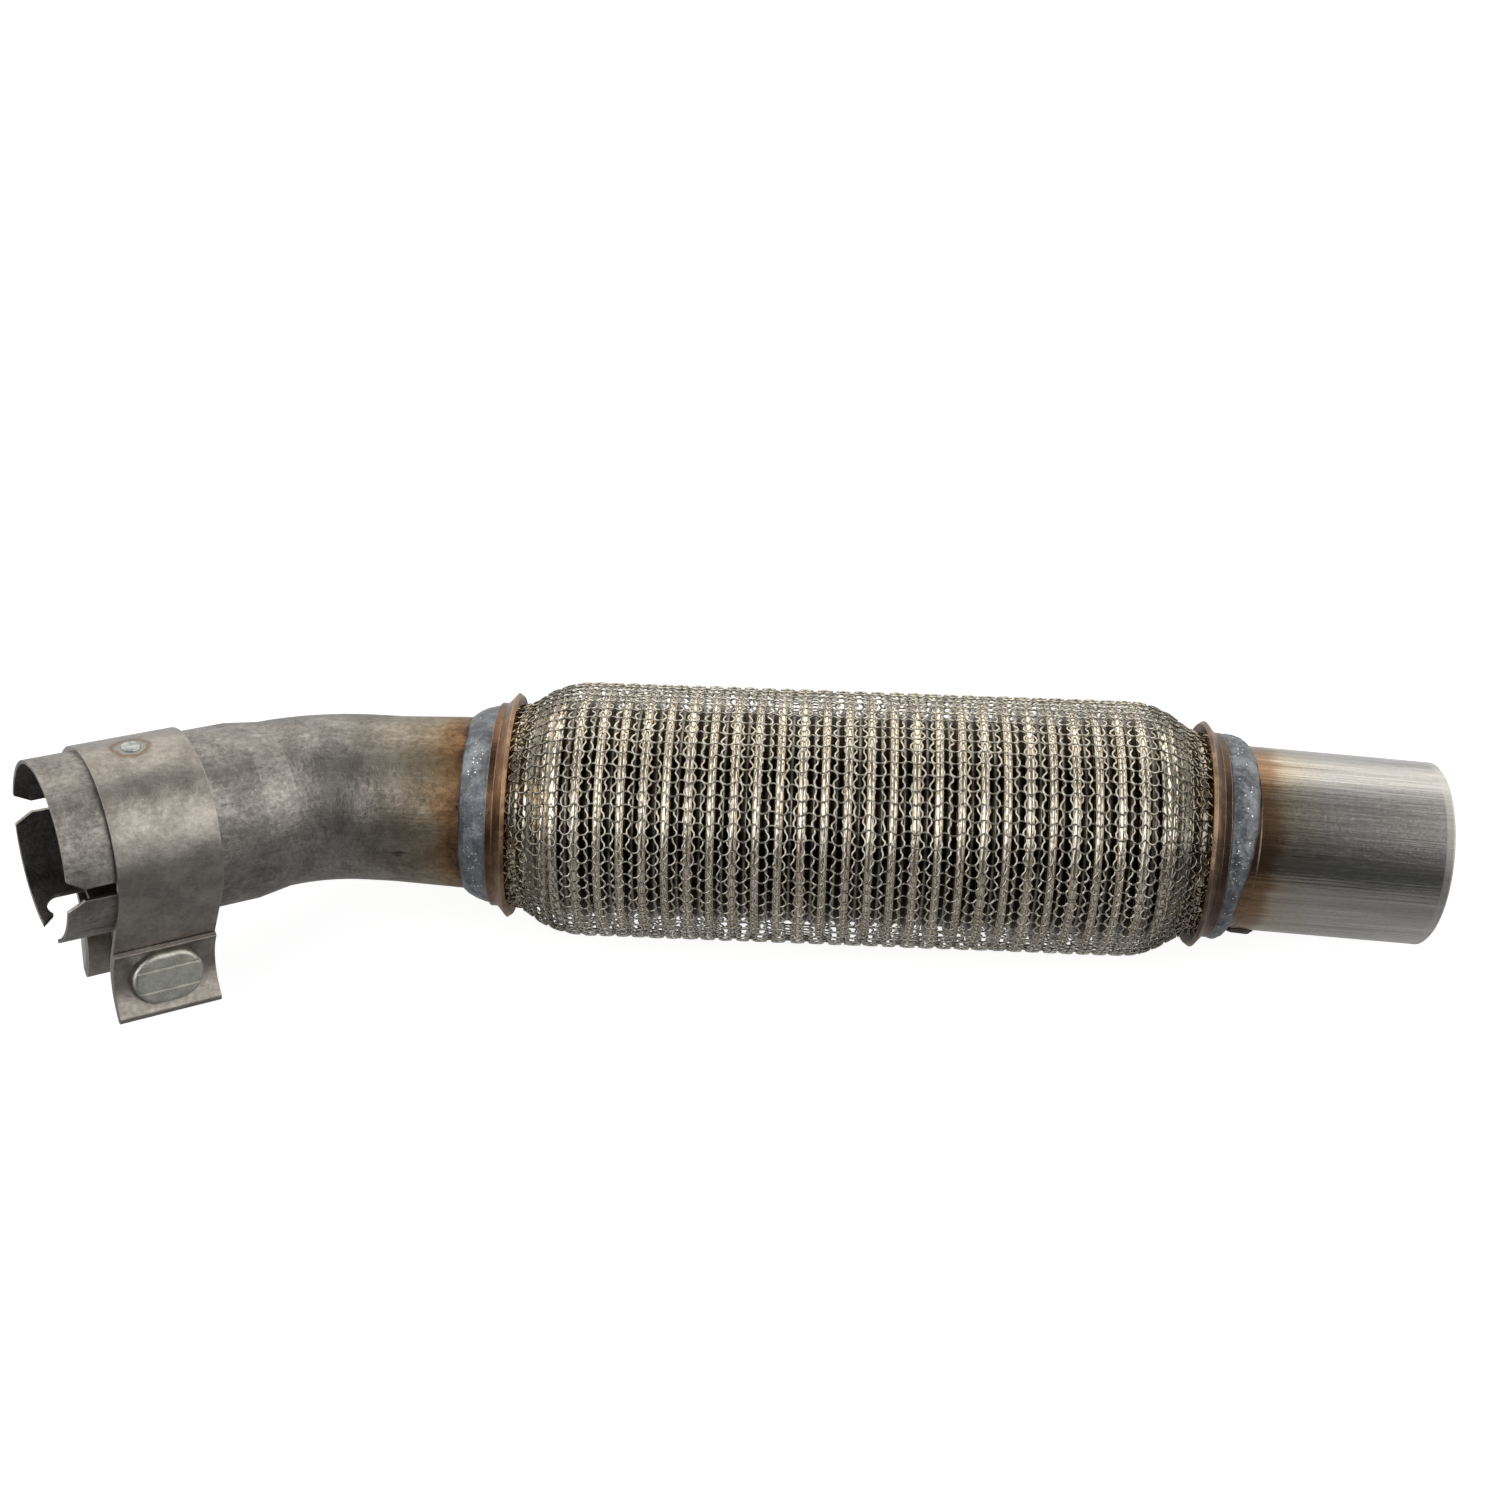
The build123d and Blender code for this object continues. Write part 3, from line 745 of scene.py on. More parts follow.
def weld_metal(name, place, slate, cluster_start):
    """Slate skin with pits, painted shade at its feet and clusters of bright drops along the crown."""
    material, nodes, shader = steel(name)
    path = place_in(nodes, place)
    crown = nodes.add("ShaderNodeAttribute", attribute_name="crown").outputs["Fac"]
    stains = effect(nodes, "Blotches", Vector=path, Size=6.0)
    drops = effect(nodes, "Spatter", Vector=path, Size=0.62, Share=0.6)["Drops"]
    pits = effect(nodes, "Spatter", Vector=path, Size=0.5, Share=0.2)["Drops"]
    clusters = nodes.range(nodes.noise(path, 0.16, 3.0, 0.7), cluster_start, 0.52, smooth=True)
    shine = nodes.times(drops, clusters, nodes.range(crown, 0.62, 0.88, smooth=True))
    colour = nodes.shaded(tuple(slate), stains["Stains"], 0.32, 0.8)
    colour = nodes.shaded(colour, stains["Mottle"], 0.80, 1.15)
    colour = nodes.tinted(colour, slag_tint)
    colour = nodes.coated(colour, pit_blue, pits, 0.6)
    # Painted shade where the bead's feet meet the tube and the collar
    colour = nodes.coated(colour, bead_foot_shade, nodes.range(crown, 0.4, 0.05, smooth=True), 0.75)
    colour = nodes.coated(colour, bright_drop, shine, 0.95)
    roughness = nodes.minus(nodes.between(stains["Mottle"], 0.42, 0.28), nodes.times(shine, 0.2))
    height = nodes.plus(nodes.times(stains["Mottle"], 0.5),
                        nodes.minus(nodes.times(shine, 1.6), nodes.times(pits, 0.8)))
    finish(nodes, shader, colour, roughness, height, 0.16, metallic=nodes.between(shine, 0.72, 1.0))
    return material


def drip_metal():
    """Nearly black scale on the drop that hangs under the outlet's weld."""
    material, nodes, shader = steel("weld_drip_scale")
    stains = effect(nodes, "Blotches", Vector=place_in(nodes, outlet_end), Size=2.5)
    colour = nodes.shaded(drip_scale, stains["Stains"], 0.6, 1.7)
    roughness = nodes.between(stains["Mottle"], 0.6, 0.45)
    finish(nodes, shader, colour, roughness, stains["Mottle"], 0.1, metallic=0.6)
    return material


def mesh_wire(settings):
    """Bright wire, straw-coloured and sooty where the sleeve closes on its collars, and darkened by painted
    shade where it dips below the sleeve's surface.
    """
    material, nodes, shader = steel("knitted_wire_steel")
    path = place_in(nodes, along_joint)
    spot = nodes.separate(path)
    stains = effect(nodes, "Blotches", Vector=path, Size=9.0)
    colour = nodes.shaded(tuple(settings.colour), stains["Stains"], 0.86, 1.15)
    colour = nodes.shaded(colour, stains["Mottle"], 0.85, 1.15)
    colour = nodes.tinted(colour, wire_tint)
    gathers = nodes.range(nodes.math("ABSOLUTE", spot["X"]), gather_start, gather_end, smooth=True)
    colour = nodes.mix(nodes.times(gathers, nodes.between(stains["Stains"], 0.35, 0.85)), colour, wire_gold)
    # Painted shade on the wire where it dips below the sleeve's surface, away from the gathers
    buried_shade = nodes.minus(1.0, nodes.range(off_axis(nodes, spot), 37.1, 37.9))
    buried_shade = nodes.times(buried_shade, nodes.minus(1.0, gathers))
    colour = nodes.shaded(colour, buried_shade, 1.0, 0.42)
    finish(nodes, shader, colour, nodes.between(stains["Mottle"], 0.16, 0.08))
    return material


def bellows_strip(settings):
    """Bright strip with rolling lines round it, darkened by brownish painted shade down in the folds with
    painted reflection lines there, lightened by a painted highlight along each valley's bottom, and golden
    near its ends.
    """
    material, nodes, shader = steel("bellows_strip_steel")
    path = place_in(nodes, along_joint)
    spot = nodes.separate(path)
    radius = off_axis(nodes, spot)
    reach = nodes.math("ABSOLUTE", spot["X"])
    stains = effect(nodes, "Blotches", Vector=path, Size=12.0)
    rolled = nodes.noise(nodes.combine(nodes.times(spot["X"], 5.0), radius, 0.0), 0.8, 3.0, 0.7)
    colour = nodes.shaded(tuple(settings.colour), stains["Stains"], 0.9, 1.12)
    colour = nodes.tinted(colour, strip_tint)
    colour = nodes.shaded(colour, rolled, 0.85, 1.12)
    # Painted shade down in the folds, shallower near the cuffs, streaked with painted reflection lines
    lift = nodes.plus(nodes.range(reach, 81.0, 90.0, 0.0, 2.6), nodes.range(reach, 93.0, 102.0, 0.0, 4.5))
    low = nodes.range(nodes.plus(radius, lift), 35.3, 33.6, smooth=True)
    reflection_lines = nodes.noise(nodes.combine(nodes.times(spot["X"], 4.0), radius, 0.0), 1.6, 2.0, 0.6)
    dark = nodes.mix(nodes.range(reflection_lines, 0.52, 0.68, 0.0, 0.6), fold_shade, fold_reflection)
    colour = nodes.coated(colour, dark, low, 0.95)
    # Painted highlight along the bottom of each valley
    colour = nodes.coated(colour, valley_highlight, nodes.range(radius, 31.28, 31.22, smooth=True), 0.6)
    gold = nodes.times(nodes.range(reach, 84.0, 92.0, smooth=True), nodes.range(stains["Stains"], 0.4, 1.0))
    colour = nodes.coated(colour, strip_gold, gold, 0.4)
    finish(nodes, shader, colour, nodes.between(stains["Mottle"], 0.24, 0.15), rolled, 0.015)
    return material


def liner_strip(settings):
    """Dull strip darkened by exhaust gas."""
    material, nodes, shader = steel("liner_strip_steel")
    stains = effect(nodes, "Blotches", Vector=place_in(nodes, along_joint), Size=9.0)
    colour = nodes.shaded(tuple(settings.liner_colour), stains["Stains"], 0.55, 0.95)
    colour = nodes.shaded(colour, stains["Mottle"], 0.85, 1.1)
    finish(nodes, shader, colour, nodes.between(stains["Mottle"], 0.5, 0.36), stains["Mottle"], 0.05)
    return material


def clamp_strip(settings):
    """Dull band with rubbed edges, lightened as wear and as a painted highlight, and a burnt ring round the
    spot weld.
    """
    material, nodes, shader = steel("clamp_band_steel")
    path = place_in(nodes, band_place)
    spot = nodes.separate(path)
    stains = effect(nodes, "Blotches", Vector=path, Size=10.0)
    brushed = effect(nodes, "Drawn Lines", Vector=nodes.combine(spot["Z"], spot["X"], spot["Y"]),
                     Spacing=0.5, Stretch=0.12)
    wear_and_highlight = effect(nodes, "Edge Wear and Highlight", Vector=path, Radius=0.32 * MM)
    colour = nodes.shaded(tuple(settings.band_colour), stains["Stains"], 0.64, 0.92)
    colour = nodes.shaded(colour, stains["Mottle"], 0.82, 1.16)
    colour = nodes.shaded(colour, brushed["Lines"], 0.90, 1.10)
    colour = nodes.coated(colour, band_dirt, stains["Specks"], 0.35)

    low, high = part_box("band_spot_weld")
    nugget = place_in(nodes, Matrix.Translation((Vector(low) + Vector(high)) / 2))
    waver = nodes.range(nodes.noise(nugget, 0.3, 2.0), 0.3, 0.7, -0.6, 0.6)
    distance = nodes.plus(nodes.vector("LENGTH", nugget), waver)
    ring = settings.weld_ring / MM
    burnt = nodes.range(distance, ring, ring - 1.6, smooth=True)
    colour = nodes.coated(colour, burnt_ring, burnt, 0.75)
    grey = nodes.range(distance, ring - 1.7, ring - 2.6, smooth=True)
    colour = nodes.coated(colour, ring_grey, grey, 0.8)
    # Edges lightened as rubbed steel and as a painted highlight
    colour = nodes.coated(colour, rubbed_band_highlight, wear_and_highlight["Worn and Lit"], 0.6)

    height = nodes.plus(nodes.times(stains["Stains"], 0.8), nodes.times(brushed["Lines"], 0.2),
                        nodes.times(stains["Mottle"], 0.3))
    finish(nodes, shader, colour, nodes.between(stains["Mottle"], 0.38, 0.27), height, 0.06, wear_and_highlight["Normal"])
    return material


def nugget_metal():
    """Silvery spot weld with a dimpled top."""
    material, nodes, shader = steel("spot_weld_metal")
    path = place_in(nodes, band_place)
    stains = effect(nodes, "Blotches", Vector=path, Size=3.0)
    wear_and_highlight = effect(nodes, "Edge Wear and Highlight", Vector=path, Radius=0.5 * MM)
    colour = nodes.shaded(nugget_silver, stains["Stains"], 0.65, 1.25)
    # Edges lightened as rubbed metal and as a painted highlight
    colour = nodes.coated(colour, rubbed_nugget_highlight, wear_and_highlight["Worn and Lit"], 0.5)
    finish(nodes, shader, colour, 0.36, stains["Stains"], 0.2, wear_and_highlight["Normal"])
    return material


def fastener_steel(settings):
    """Grey-green plated screw, nut and washer with rubbed edges, lightened as wear and as a painted
    highlight.
    """
    material, nodes, shader = steel("plated_fastener_steel")
    path = place_in(nodes, screw_place)
    stains = effect(nodes, "Blotches", Vector=path, Size=5.0)
    wear_and_highlight = effect(nodes, "Edge Wear and Highlight", Vector=path, Radius=0.3 * MM)
    colour = nodes.shaded(tuple(settings.fastener_colour), stains["Stains"], 0.82, 1.10)
    colour = nodes.shaded(colour, stains["Mottle"], 0.85, 1.12)
    colour = nodes.tinted(colour, plating_tint)
    # Edges lightened as rubbed plating and as a painted highlight
    colour = nodes.coated(colour, rubbed_plating_highlight, wear_and_highlight["Worn and Lit"], 0.55)
    roughness = nodes.between(stains["Mottle"], 0.44, 0.34)
    finish(nodes, shader, colour, roughness, stains["Mottle"], 0.05, wear_and_highlight["Normal"])
    return material


def spacer_steel(settings):
    """Dull grainy block between the ears."""
    material, nodes, shader = steel("spacer_block_steel")
    path = place_in(nodes, screw_place)
    stains = effect(nodes, "Blotches", Vector=path, Size=4.0)
    wear_and_highlight = effect(nodes, "Edge Wear and Highlight", Vector=path, Radius=0.4 * MM)
    colour = nodes.shaded(tuple(settings.spacer_colour), stains["Stains"], 0.7, 1.05)
    # Edges lightened as rubbed steel and as a painted highlight
    colour = nodes.coated(colour, rubbed_block_highlight, wear_and_highlight["Worn and Lit"], 0.4)
    roughness = nodes.between(stains["Mottle"], 0.56, 0.44)
    finish(nodes, shader, colour, roughness, stains["Mottle"], 0.12, wear_and_highlight["Normal"])
    return material


def shoulder_curve(nodes, share, points):
    """Value curve through the points of one of the sleeve's shoulder rules."""
    curve = nodes.add("ShaderNodeFloatCurve", {"Value": share})
    line = curve.mapping.curves[0]
    for point, place in zip(line.points, (points[0], points[-1])):
        point.location = place
    for across, up in points[1:-1]:
        line.points.new(across, up)
    curve.mapping.update()
    return curve.outputs[0]


def in_metres(nodes, vector):
    """Vector in millimetres from the joint's middle, as a place on the pipe."""
    scaled = nodes.add("ShaderNodeVectorMath", {0: vector, "Scale": MM}, operation="SCALE").outputs[0]
    return nodes.vector("ADD", scaled, tuple(joint_middle))


def polar(nodes, along, radius, angle):
    return nodes.combine(along, nodes.times(radius, nodes.math("COSINE", angle)),
                         nodes.times(radius, nodes.math("SINE", angle)))


def follow_ends(nodes, barrel, along):
    """Turns both ends of the straight barrel to the collars that hold them."""
    for side, turns, shift in ((1, ((outlet_dip, "Y_AXIS"), (outlet_yaw, "Z_AXIS")), outlet_shift),
                               (-1, ((inlet_rise, "Y_AXIS"),), None)):
        beyond = nodes.range(nodes.times(along, side), joint_half - 9, joint_half + 7, smooth=True)
        for angle, axis in turns:
            barrel = nodes.add("ShaderNodeVectorRotate", {
                "Vector": barrel, "Center": (side * joint_half, 0, 0),
                "Angle": nodes.times(beyond, radians(angle))}, rotation_type=axis).outputs[0]
        if shift:
            barrel = nodes.vector("ADD", barrel, nodes.vector("MULTIPLY", beyond, tuple(shift)))
    return barrel


def deliver(nodes, out, geometry, material):
    """Real geometry in its material, at the output of a geometry tree."""
    real = nodes.add("GeometryNodeRealizeInstances", {"Geometry": geometry})
    finished = nodes.add("GeometryNodeSetMaterial", {"Geometry": real, "Material": material})
    nodes.link(finished.outputs[0], out.inputs[0])


def straight_rows(nodes, given):
    """One straight wire for each row: X runs from 0 to 1 along it and Y is the row's number."""
    line = nodes.add("GeometryNodeCurvePrimitiveLine", {"End": (1, 0, 0)})
    count = nodes.plus(nodes.times(given["Stitches"], given["Points per Stitch"]), 1)
    fine = nodes.add("GeometryNodeResampleCurve", {"Curve": line, "Count": count})
    rows = nodes.add("GeometryNodeDuplicateElements", {"Geometry": fine, "Amount": given["Rows"]},
                     domain="SPLINE")
    place = nodes.separate(nodes.add("GeometryNodeInputPosition"))
    return nodes.add("GeometryNodeSetPosition", {
        "Geometry": rows.outputs["Geometry"],
        "Position": nodes.combine(place["X"], rows.outputs["Duplicate Index"])})


def stitches(nodes, given):
    """Run, angle and depth of a row's points, which loop in round arcs with the heads standing out."""
    spot = nodes.separate(nodes.add("GeometryNodeInputPosition"))
    turn = nodes.times(spot["X"], given["Stitches"], tau)
    spread = nodes.minus(nodes.times(spot["X"], 2), 1)
    crowding = nodes.times(nodes.math("SINE", nodes.times(spread, pi)), crowding_share / pi)
    middle = nodes.times(nodes.plus(spread, crowding), sleeve_run)
    half_loops = nodes.over(turn, pi)
    nearest = nodes.math("ROUND", half_loops)
    part = nodes.minus(half_loops, nearest)
    arc_radius = nodes.over(given["Loop Radius"], MM)
    half_pitch = nodes.over(sleeve_run * (1 + crowding_share), given["Stitches"])
    sweep = nodes.minus(pi, nodes.math("ARCSINE", nodes.over(half_pitch, nodes.times(arc_radius, 2))))
    swing = nodes.times(sweep, 2, part)
    across = nodes.times(arc_radius, nodes.math("SINE", swing))
    run = nodes.plus(middle, nodes.minus(across, nodes.times(half_pitch, part)))
    level = nodes.math("COSINE", sweep)
    rise = nodes.over(nodes.minus(nodes.math("COSINE", swing), level), nodes.minus(1, level))
    rise = nodes.times(rise, nodes.over(given["Loop Height"], 2 * MM))
    side = nodes.math("SIGN", nodes.math("COSINE", nodes.times(nearest, pi)))
    row = nodes.over(nodes.plus(spot["Y"], given["First Row"]), given["Rows Round"])
    angle = nodes.plus(nodes.times(row, tau), nodes.times(rise, side, 1 / sleeve_radius))
    depth = nodes.times(nodes.math("COSINE", turn), nodes.over(given["Loop Depth"], MM))
    return run, angle, depth


def drifted(nodes, given, run, angle, depth):
    """The same points, each moved a little by chance."""
    around = nodes.combine(nodes.times(run, drift_squeeze), nodes.math("COSINE", angle),
                           nodes.math("SINE", angle))
    reach = nodes.math("ABSOLUTE", run)
    lift = nodes.range(reach, gather_start, gather_end - 1, 0.25, 1.3)
    for scale, calm, wild in drifts:
        drift = nodes.add("ShaderNodeTexNoise", {"Vector": around, "Scale": scale, "Detail": 2.0})
        offset = nodes.separate(nodes.vector("SUBTRACT", drift.outputs["Color"], (0.5, 0.5, 0.5)))
        amount = nodes.times(nodes.range(reach, gather_start, gather_end, calm, wild), given["Unevenness"])
        run = nodes.plus(run, nodes.times(offset["X"], amount))
        angle = nodes.plus(angle, nodes.times(offset["Y"], nodes.over(amount, drift_radius)))
        depth = nodes.plus(depth, nodes.times(offset["Z"], lift))
    return run, angle, depth


def on_sleeve(nodes, run, angle, depth):
    """Places of the points on the sleeve's barrel and its rounded shoulders."""
    reach = nodes.math("ABSOLUTE", run)
    shoulder = nodes.range(reach, sleeve_straight, sleeve_run)
    advance = nodes.times(shoulder_curve(nodes, shoulder, shoulder_advance), shoulder_length)
    fall = nodes.times(shoulder_curve(nodes, shoulder, shoulder_drop), shoulder_fall)
    along = nodes.plus(nodes.math("MINIMUM", reach, sleeve_straight), advance)
    along = nodes.times(along, nodes.math("SIGN", run))
    radius = nodes.plus(nodes.minus(sleeve_radius, fall), depth)
    return in_metres(nodes, follow_ends(nodes, polar(nodes, along, radius, angle), along))


def knit_tree():
    """Wire loops in rows along the pipe, each row hooked into the next, laid over the sleeve's barrel."""
    nodes, given, out = group_tree("Knitted Wire", "GeometryNodeTree", [
        ("First Row", "NodeSocketInt", 0),
        ("Rows", "NodeSocketInt", 20),
        ("Rows Round", "NodeSocketInt", 58),
        ("Stitches", "NodeSocketInt", 45),
        ("Points per Stitch", "NodeSocketInt", 14),
        ("Wire Radius", "NodeSocketFloat", 0.00027),
        ("Loop Radius", "NodeSocketFloat", 0.0019),
        ("Loop Height", "NodeSocketFloat", 0.005),
        ("Loop Depth", "NodeSocketFloat", 0.0004),
        ("Unevenness", "NodeSocketFloat", 1.0),
        ("Wire", "NodeSocketMaterial", None),
    ], [("Sleeve", "NodeSocketGeometry")])
    place = on_sleeve(nodes, *drifted(nodes, given, *stitches(nodes, given)))
    laid = nodes.add("GeometryNodeSetPosition", {"Geometry": straight_rows(nodes, given), "Position": place})
    section = nodes.add("GeometryNodeCurvePrimitiveCircle", {"Resolution": 6, "Radius": given["Wire Radius"]})
    wire = nodes.add("GeometryNodeCurveToMesh", {"Curve": laid, "Profile Curve": section.outputs["Curve"],
                                                 "Fill Caps": True})
    smooth = nodes.add("GeometryNodeSetShadeSmooth", {"Geometry": wire})
    deliver(nodes, out, smooth, given["Wire"])
    return nodes.tree


def bellows_tree():
    """Round-topped convolutions over a plain bore, as one closed ring."""
    nodes, given, out = group_tree("Bellows", "GeometryNodeTree", [
        ("Convolutions", "NodeSocketInt", 28),
        ("Length", "NodeSocketFloat", 0.182),
        ("Crest Radius", "NodeSocketFloat", 0.0367),
        ("Valley Radius", "NodeSocketFloat", 0.0312),
        ("Bore Radius", "NodeSocketFloat", 0.0307),
        ("Valley Swell", "NodeSocketFloat", 0.08),
        ("Wall Steepness", "NodeSocketFloat", 0.45),
        ("Steps", "NodeSocketInt", 20),
        ("Segments", "NodeSocketInt", 112),
        ("Strip", "NodeSocketMaterial", None),
    ], [("Bellows", "NodeSocketGeometry")])
    crest, valley, bore, length = (nodes.over(given[label], MM) for label in (
        "Crest Radius", "Valley Radius", "Bore Radius", "Length"))
    columns = nodes.plus(nodes.times(given["Convolutions"], given["Steps"]), 4)
    grid = nodes.add("GeometryNodeMeshGrid", {
        "Size X": 1.0, "Size Y": 1.0, "Vertices X": columns, "Vertices Y": nodes.plus(given["Segments"], 1)})
    spot = nodes.separate(nodes.add("GeometryNodeInputPosition"))
    column = nodes.math("ROUND", nodes.times(nodes.plus(spot["X"], 0.5), nodes.minus(columns, 1)))
    last = nodes.minus(columns, 3)
    share = nodes.math("DIVIDE", nodes.minus(column, 1), nodes.minus(last, 1), clamp=True)
    wave = nodes.times(share, given["Convolutions"], tau)
    height = nodes.minus(0.5, nodes.times(nodes.math("COSINE", wave), 0.5))
    ends = nodes.math("ABSOLUTE", nodes.minus(nodes.times(share, 2), 1))
    fade = nodes.range(ends, 0.90, 0.975, 1.0, 0.5, smooth=True)
    rise = nodes.times(nodes.minus(crest, valley), fade)
    folded = nodes.plus(valley, nodes.times(height, rise))
    inner = nodes.math("ADD", nodes.math("LESS_THAN", column, 0.5),
                       nodes.math("GREATER_THAN", column, nodes.plus(last, 0.5)), clamp=True)
    outer = nodes.minus(1, inner)
    radius = nodes.plus(nodes.times(folded, outer), nodes.times(bore, inner))
    back = nodes.math("GREATER_THAN", column, nodes.plus(last, 1.5))
    along = nodes.times(nodes.minus(share, 0.5, back), length)
    swell = nodes.plus(nodes.times(nodes.math("SINE", nodes.times(wave, 2)), given["Wall Steepness"]),
                       nodes.times(nodes.math("SINE", wave), given["Valley Swell"]))
    along = nodes.plus(along, nodes.times(swell, outer))
    ring = in_metres(nodes, polar(nodes, along, radius, nodes.times(spot["Y"], tau)))
    placed = nodes.add("GeometryNodeSetPosition", {"Geometry": grid.outputs["Mesh"], "Position": ring})
    closed = nodes.add("GeometryNodeMergeByDistance", {"Geometry": placed, "Distance": 1e-6})
    smooth = nodes.add("GeometryNodeSetShadeSmooth", {"Geometry": closed})
    deliver(nodes, out, smooth, given["Strip"])
    return nodes.tree


def thread_tree():
    """Low ridge winding round a screw's tail along +Z, with closed ends."""
    nodes, given, out = group_tree("Screw Thread", "GeometryNodeTree", [
        ("Turns", "NodeSocketFloat", 4.0),
        ("Radius", "NodeSocketFloat", 0.004),
        ("Length", "NodeSocketFloat", 0.005),
        ("Ridge", "NodeSocketFloat", 0.0004),
        ("Steel", "NodeSocketMaterial", None),
    ], [("Thread", "NodeSocketGeometry")])
    helix = nodes.add("GeometryNodeCurveSpiral", {
        "Resolution": 40, "Rotations": given["Turns"], "Start Radius": given["Radius"],
        "End Radius": given["Radius"], "Height": given["Length"]})
    section = nodes.add("GeometryNodeCurvePrimitiveCircle", {"Resolution": 4, "Radius": given["Ridge"]})
    ridge = nodes.add("GeometryNodeCurveToMesh", {
        "Curve": helix, "Profile Curve": section.outputs["Curve"], "Fill Caps": True})
    deliver(nodes, out, ridge, given["Steel"])
    return nodes.tree


def lathe(name, place, profile, material):
    """Closed ring turned about the place's X axis, from (distance, radius) points in millimetres."""
    segments = 128
    bm = bmesh.new()
    rings = []
    for step in range(segments):
        angle = tau * step / segments
        rings.append([bm.verts.new(ring_point(place, along, radius, angle)) for along, radius in profile])
    join_rings(bm, rings)
    return smooth_piece(name, bm, material)


def weld_bead(name, place, start, toe, feet, crown, lumps, slump, material):
    """Lumpy D-shaped ring between a start and a toe that both vary round the tube, in millimetres."""
    around, across = 420, 18
    fullness, lean, sunk = 0.62, 0.10, 0.9
    bm = bmesh.new()
    crown_layer = bm.verts.layers.float.new("crown")
    rings = []
    for step in range(around):
        angle = tau * step / around
        first, last = start(angle), toe(angle)
        ring = []
        for index in range(across):
            share = index / (across - 1)
            along = first + (last - first) * (share - lean * sin(tau * share) / tau)
            rise = max(sin(pi * share), 0.0) ** fullness
            radius = feet[0] + (feet[1] - feet[0]) * share + crown * rise - slump * sin(angle) * (1 - share)
            spot = Vector((along, radius * cos(angle), radius * sin(angle)))
            rough = value_noise(spot * 0.42) + 0.55 * value_noise(spot * 1.1 + Vector((9, 4, 2)))
            point = bm.verts.new(ring_point(place, along, radius + lumps * rise * rough, angle))
            point[crown_layer] = rise
            ring.append(point)
        for along in (last - 0.1, first + 0.1):
            ring.append(bm.verts.new(ring_point(place, along, min(feet) - sunk, angle)))
        rings.append(ring)
    join_rings(bm, rings)
    return smooth_piece(name, bm, material)


def wander(angle, amount, scale, seed):
    """Smooth unevenness round a ring."""
    spot = Vector((cos(angle) * scale, sin(angle) * scale, seed))
    return amount * (value_noise(spot) + 0.5 * value_noise(spot * 2.7))


def outlet_bead_start(angle):
    """Distance along the outlet at which the bead meets the collar's tilted face."""
    bead_radius, overlap = 29.5, 0.5
    tilt = outlet_cuffs.inverted() @ outlet_end
    offset = ring_point(tilt, 0.0, bead_radius, angle).x / MM
    return (collar_face - offset) / tilt.col[0].x - overlap


def outlet_bead_toe(angle):
    """Toe of the outlet's bead: nearer the collar on the viewer's side and further along underneath."""
    viewer, under = max(-cos(angle), 0), max(-sin(angle), 0)
    return outlet_toe - 2.8 * viewer ** 2 + 2.6 * under ** 2 + wander(angle, 0.55, 3.0, 4.0)


def inlet_bead_start(angle):
    return collar_face - 0.5 + wander(angle, 0.3, 3.0, 1.0)


def inlet_bead_toe(angle):
    return inlet_toe + wander(angle, 0.5, 2.2, 2.0)


def cuff_steps():
    """Profile of a bellows' end: three ever lower folds, then the cuff held in the collar."""
    outer = [(1.5, 31.4), (2.3, 33.0), (3.3, 33.9), (4.3, 33.2), (5.1, 31.4), (6.0, 30.3), (7.0, 30.2),
             (7.8, 30.8), (8.7, 31.2), (9.6, 30.6), (10.4, 29.6), (11.4, 29.1), (12.4, 29.1), (13.2, 29.5),
             (14.0, 29.3), (15.0, 28.75), (16.5, 28.62), (20.0, 28.62)]
    inner = [(20.0, 28.15), (15.0, 28.2), (10.6, 28.6), (8.0, 29.6), (4.6, 30.0), (1.5, 30.8)]
    return outer + inner


def weld_drip(name, material):
    """Drop of scale that hangs from the tube just past the toe of the outlet's bead."""
    length, height, width = 3.9, 1.25, 4.2
    along, radius, under = 29.6, 27.6, radians(-140)
    out = Vector((0, cos(under), sin(under)))
    side = Vector((0, -sin(under), cos(under)))
    centre = Vector((along, 0, 0)) + out * radius
    bm = bmesh.new()
    bmesh.ops.create_icosphere(bm, subdivisions=4, radius=1.0)
    for vert in bm.verts:
        spot = vert.co.copy()
        lump = 1.0 + 0.28 * value_noise(spot * 1.7 + Vector((3, 5, 8)))
        local = Vector((spot.x * length, 0, 0)) + out * (spot.y * height) + side * (spot.z * width)
        vert.co = outlet_end @ ((centre + local * lump) * MM)
    return smooth_piece(name, bm, material)


class ExhaustOperator:
    """Shared base of the operators, which all run without being undone."""

    bl_options = {"REGISTER"}

    def execute(self, context):
        self.make(context.scene)
        return {"FINISHED"}


class EXHAUST_OT_sleeve(ExhaustOperator, bpy.types.Operator):
    """Knits the wire sleeve in three pieces and lays it over the bellows"""

    bl_idname = "exhaust.sleeve"
    bl_label = "Knitted Sleeve"
    pieces = 3

    def make(self, scene):
        settings = scene.exhaust_sleeve
        wire = mesh_wire(settings)
        tree = knit_tree()
        first = 0
        for number in range(self.pieces):
            after = round(settings.rows_round * (number + 1) / self.pieces)
            piece = settle(f"knitted_sleeve_{number + 1}", tree, {
                "First Row": first, "Rows": after - first, "Rows Round": settings.rows_round,
                "Stitches": settings.stitches, "Wire Radius": settings.wire_radius,
                "Loop Radius": settings.loop_radius, "Loop Height": settings.loop_height,
                "Loop Depth": settings.loop_depth, "Unevenness": settings.unevenness, "Wire": wire})
            dress(piece, "mesh_wire", "knit_mesh_sleeve")
            first = after


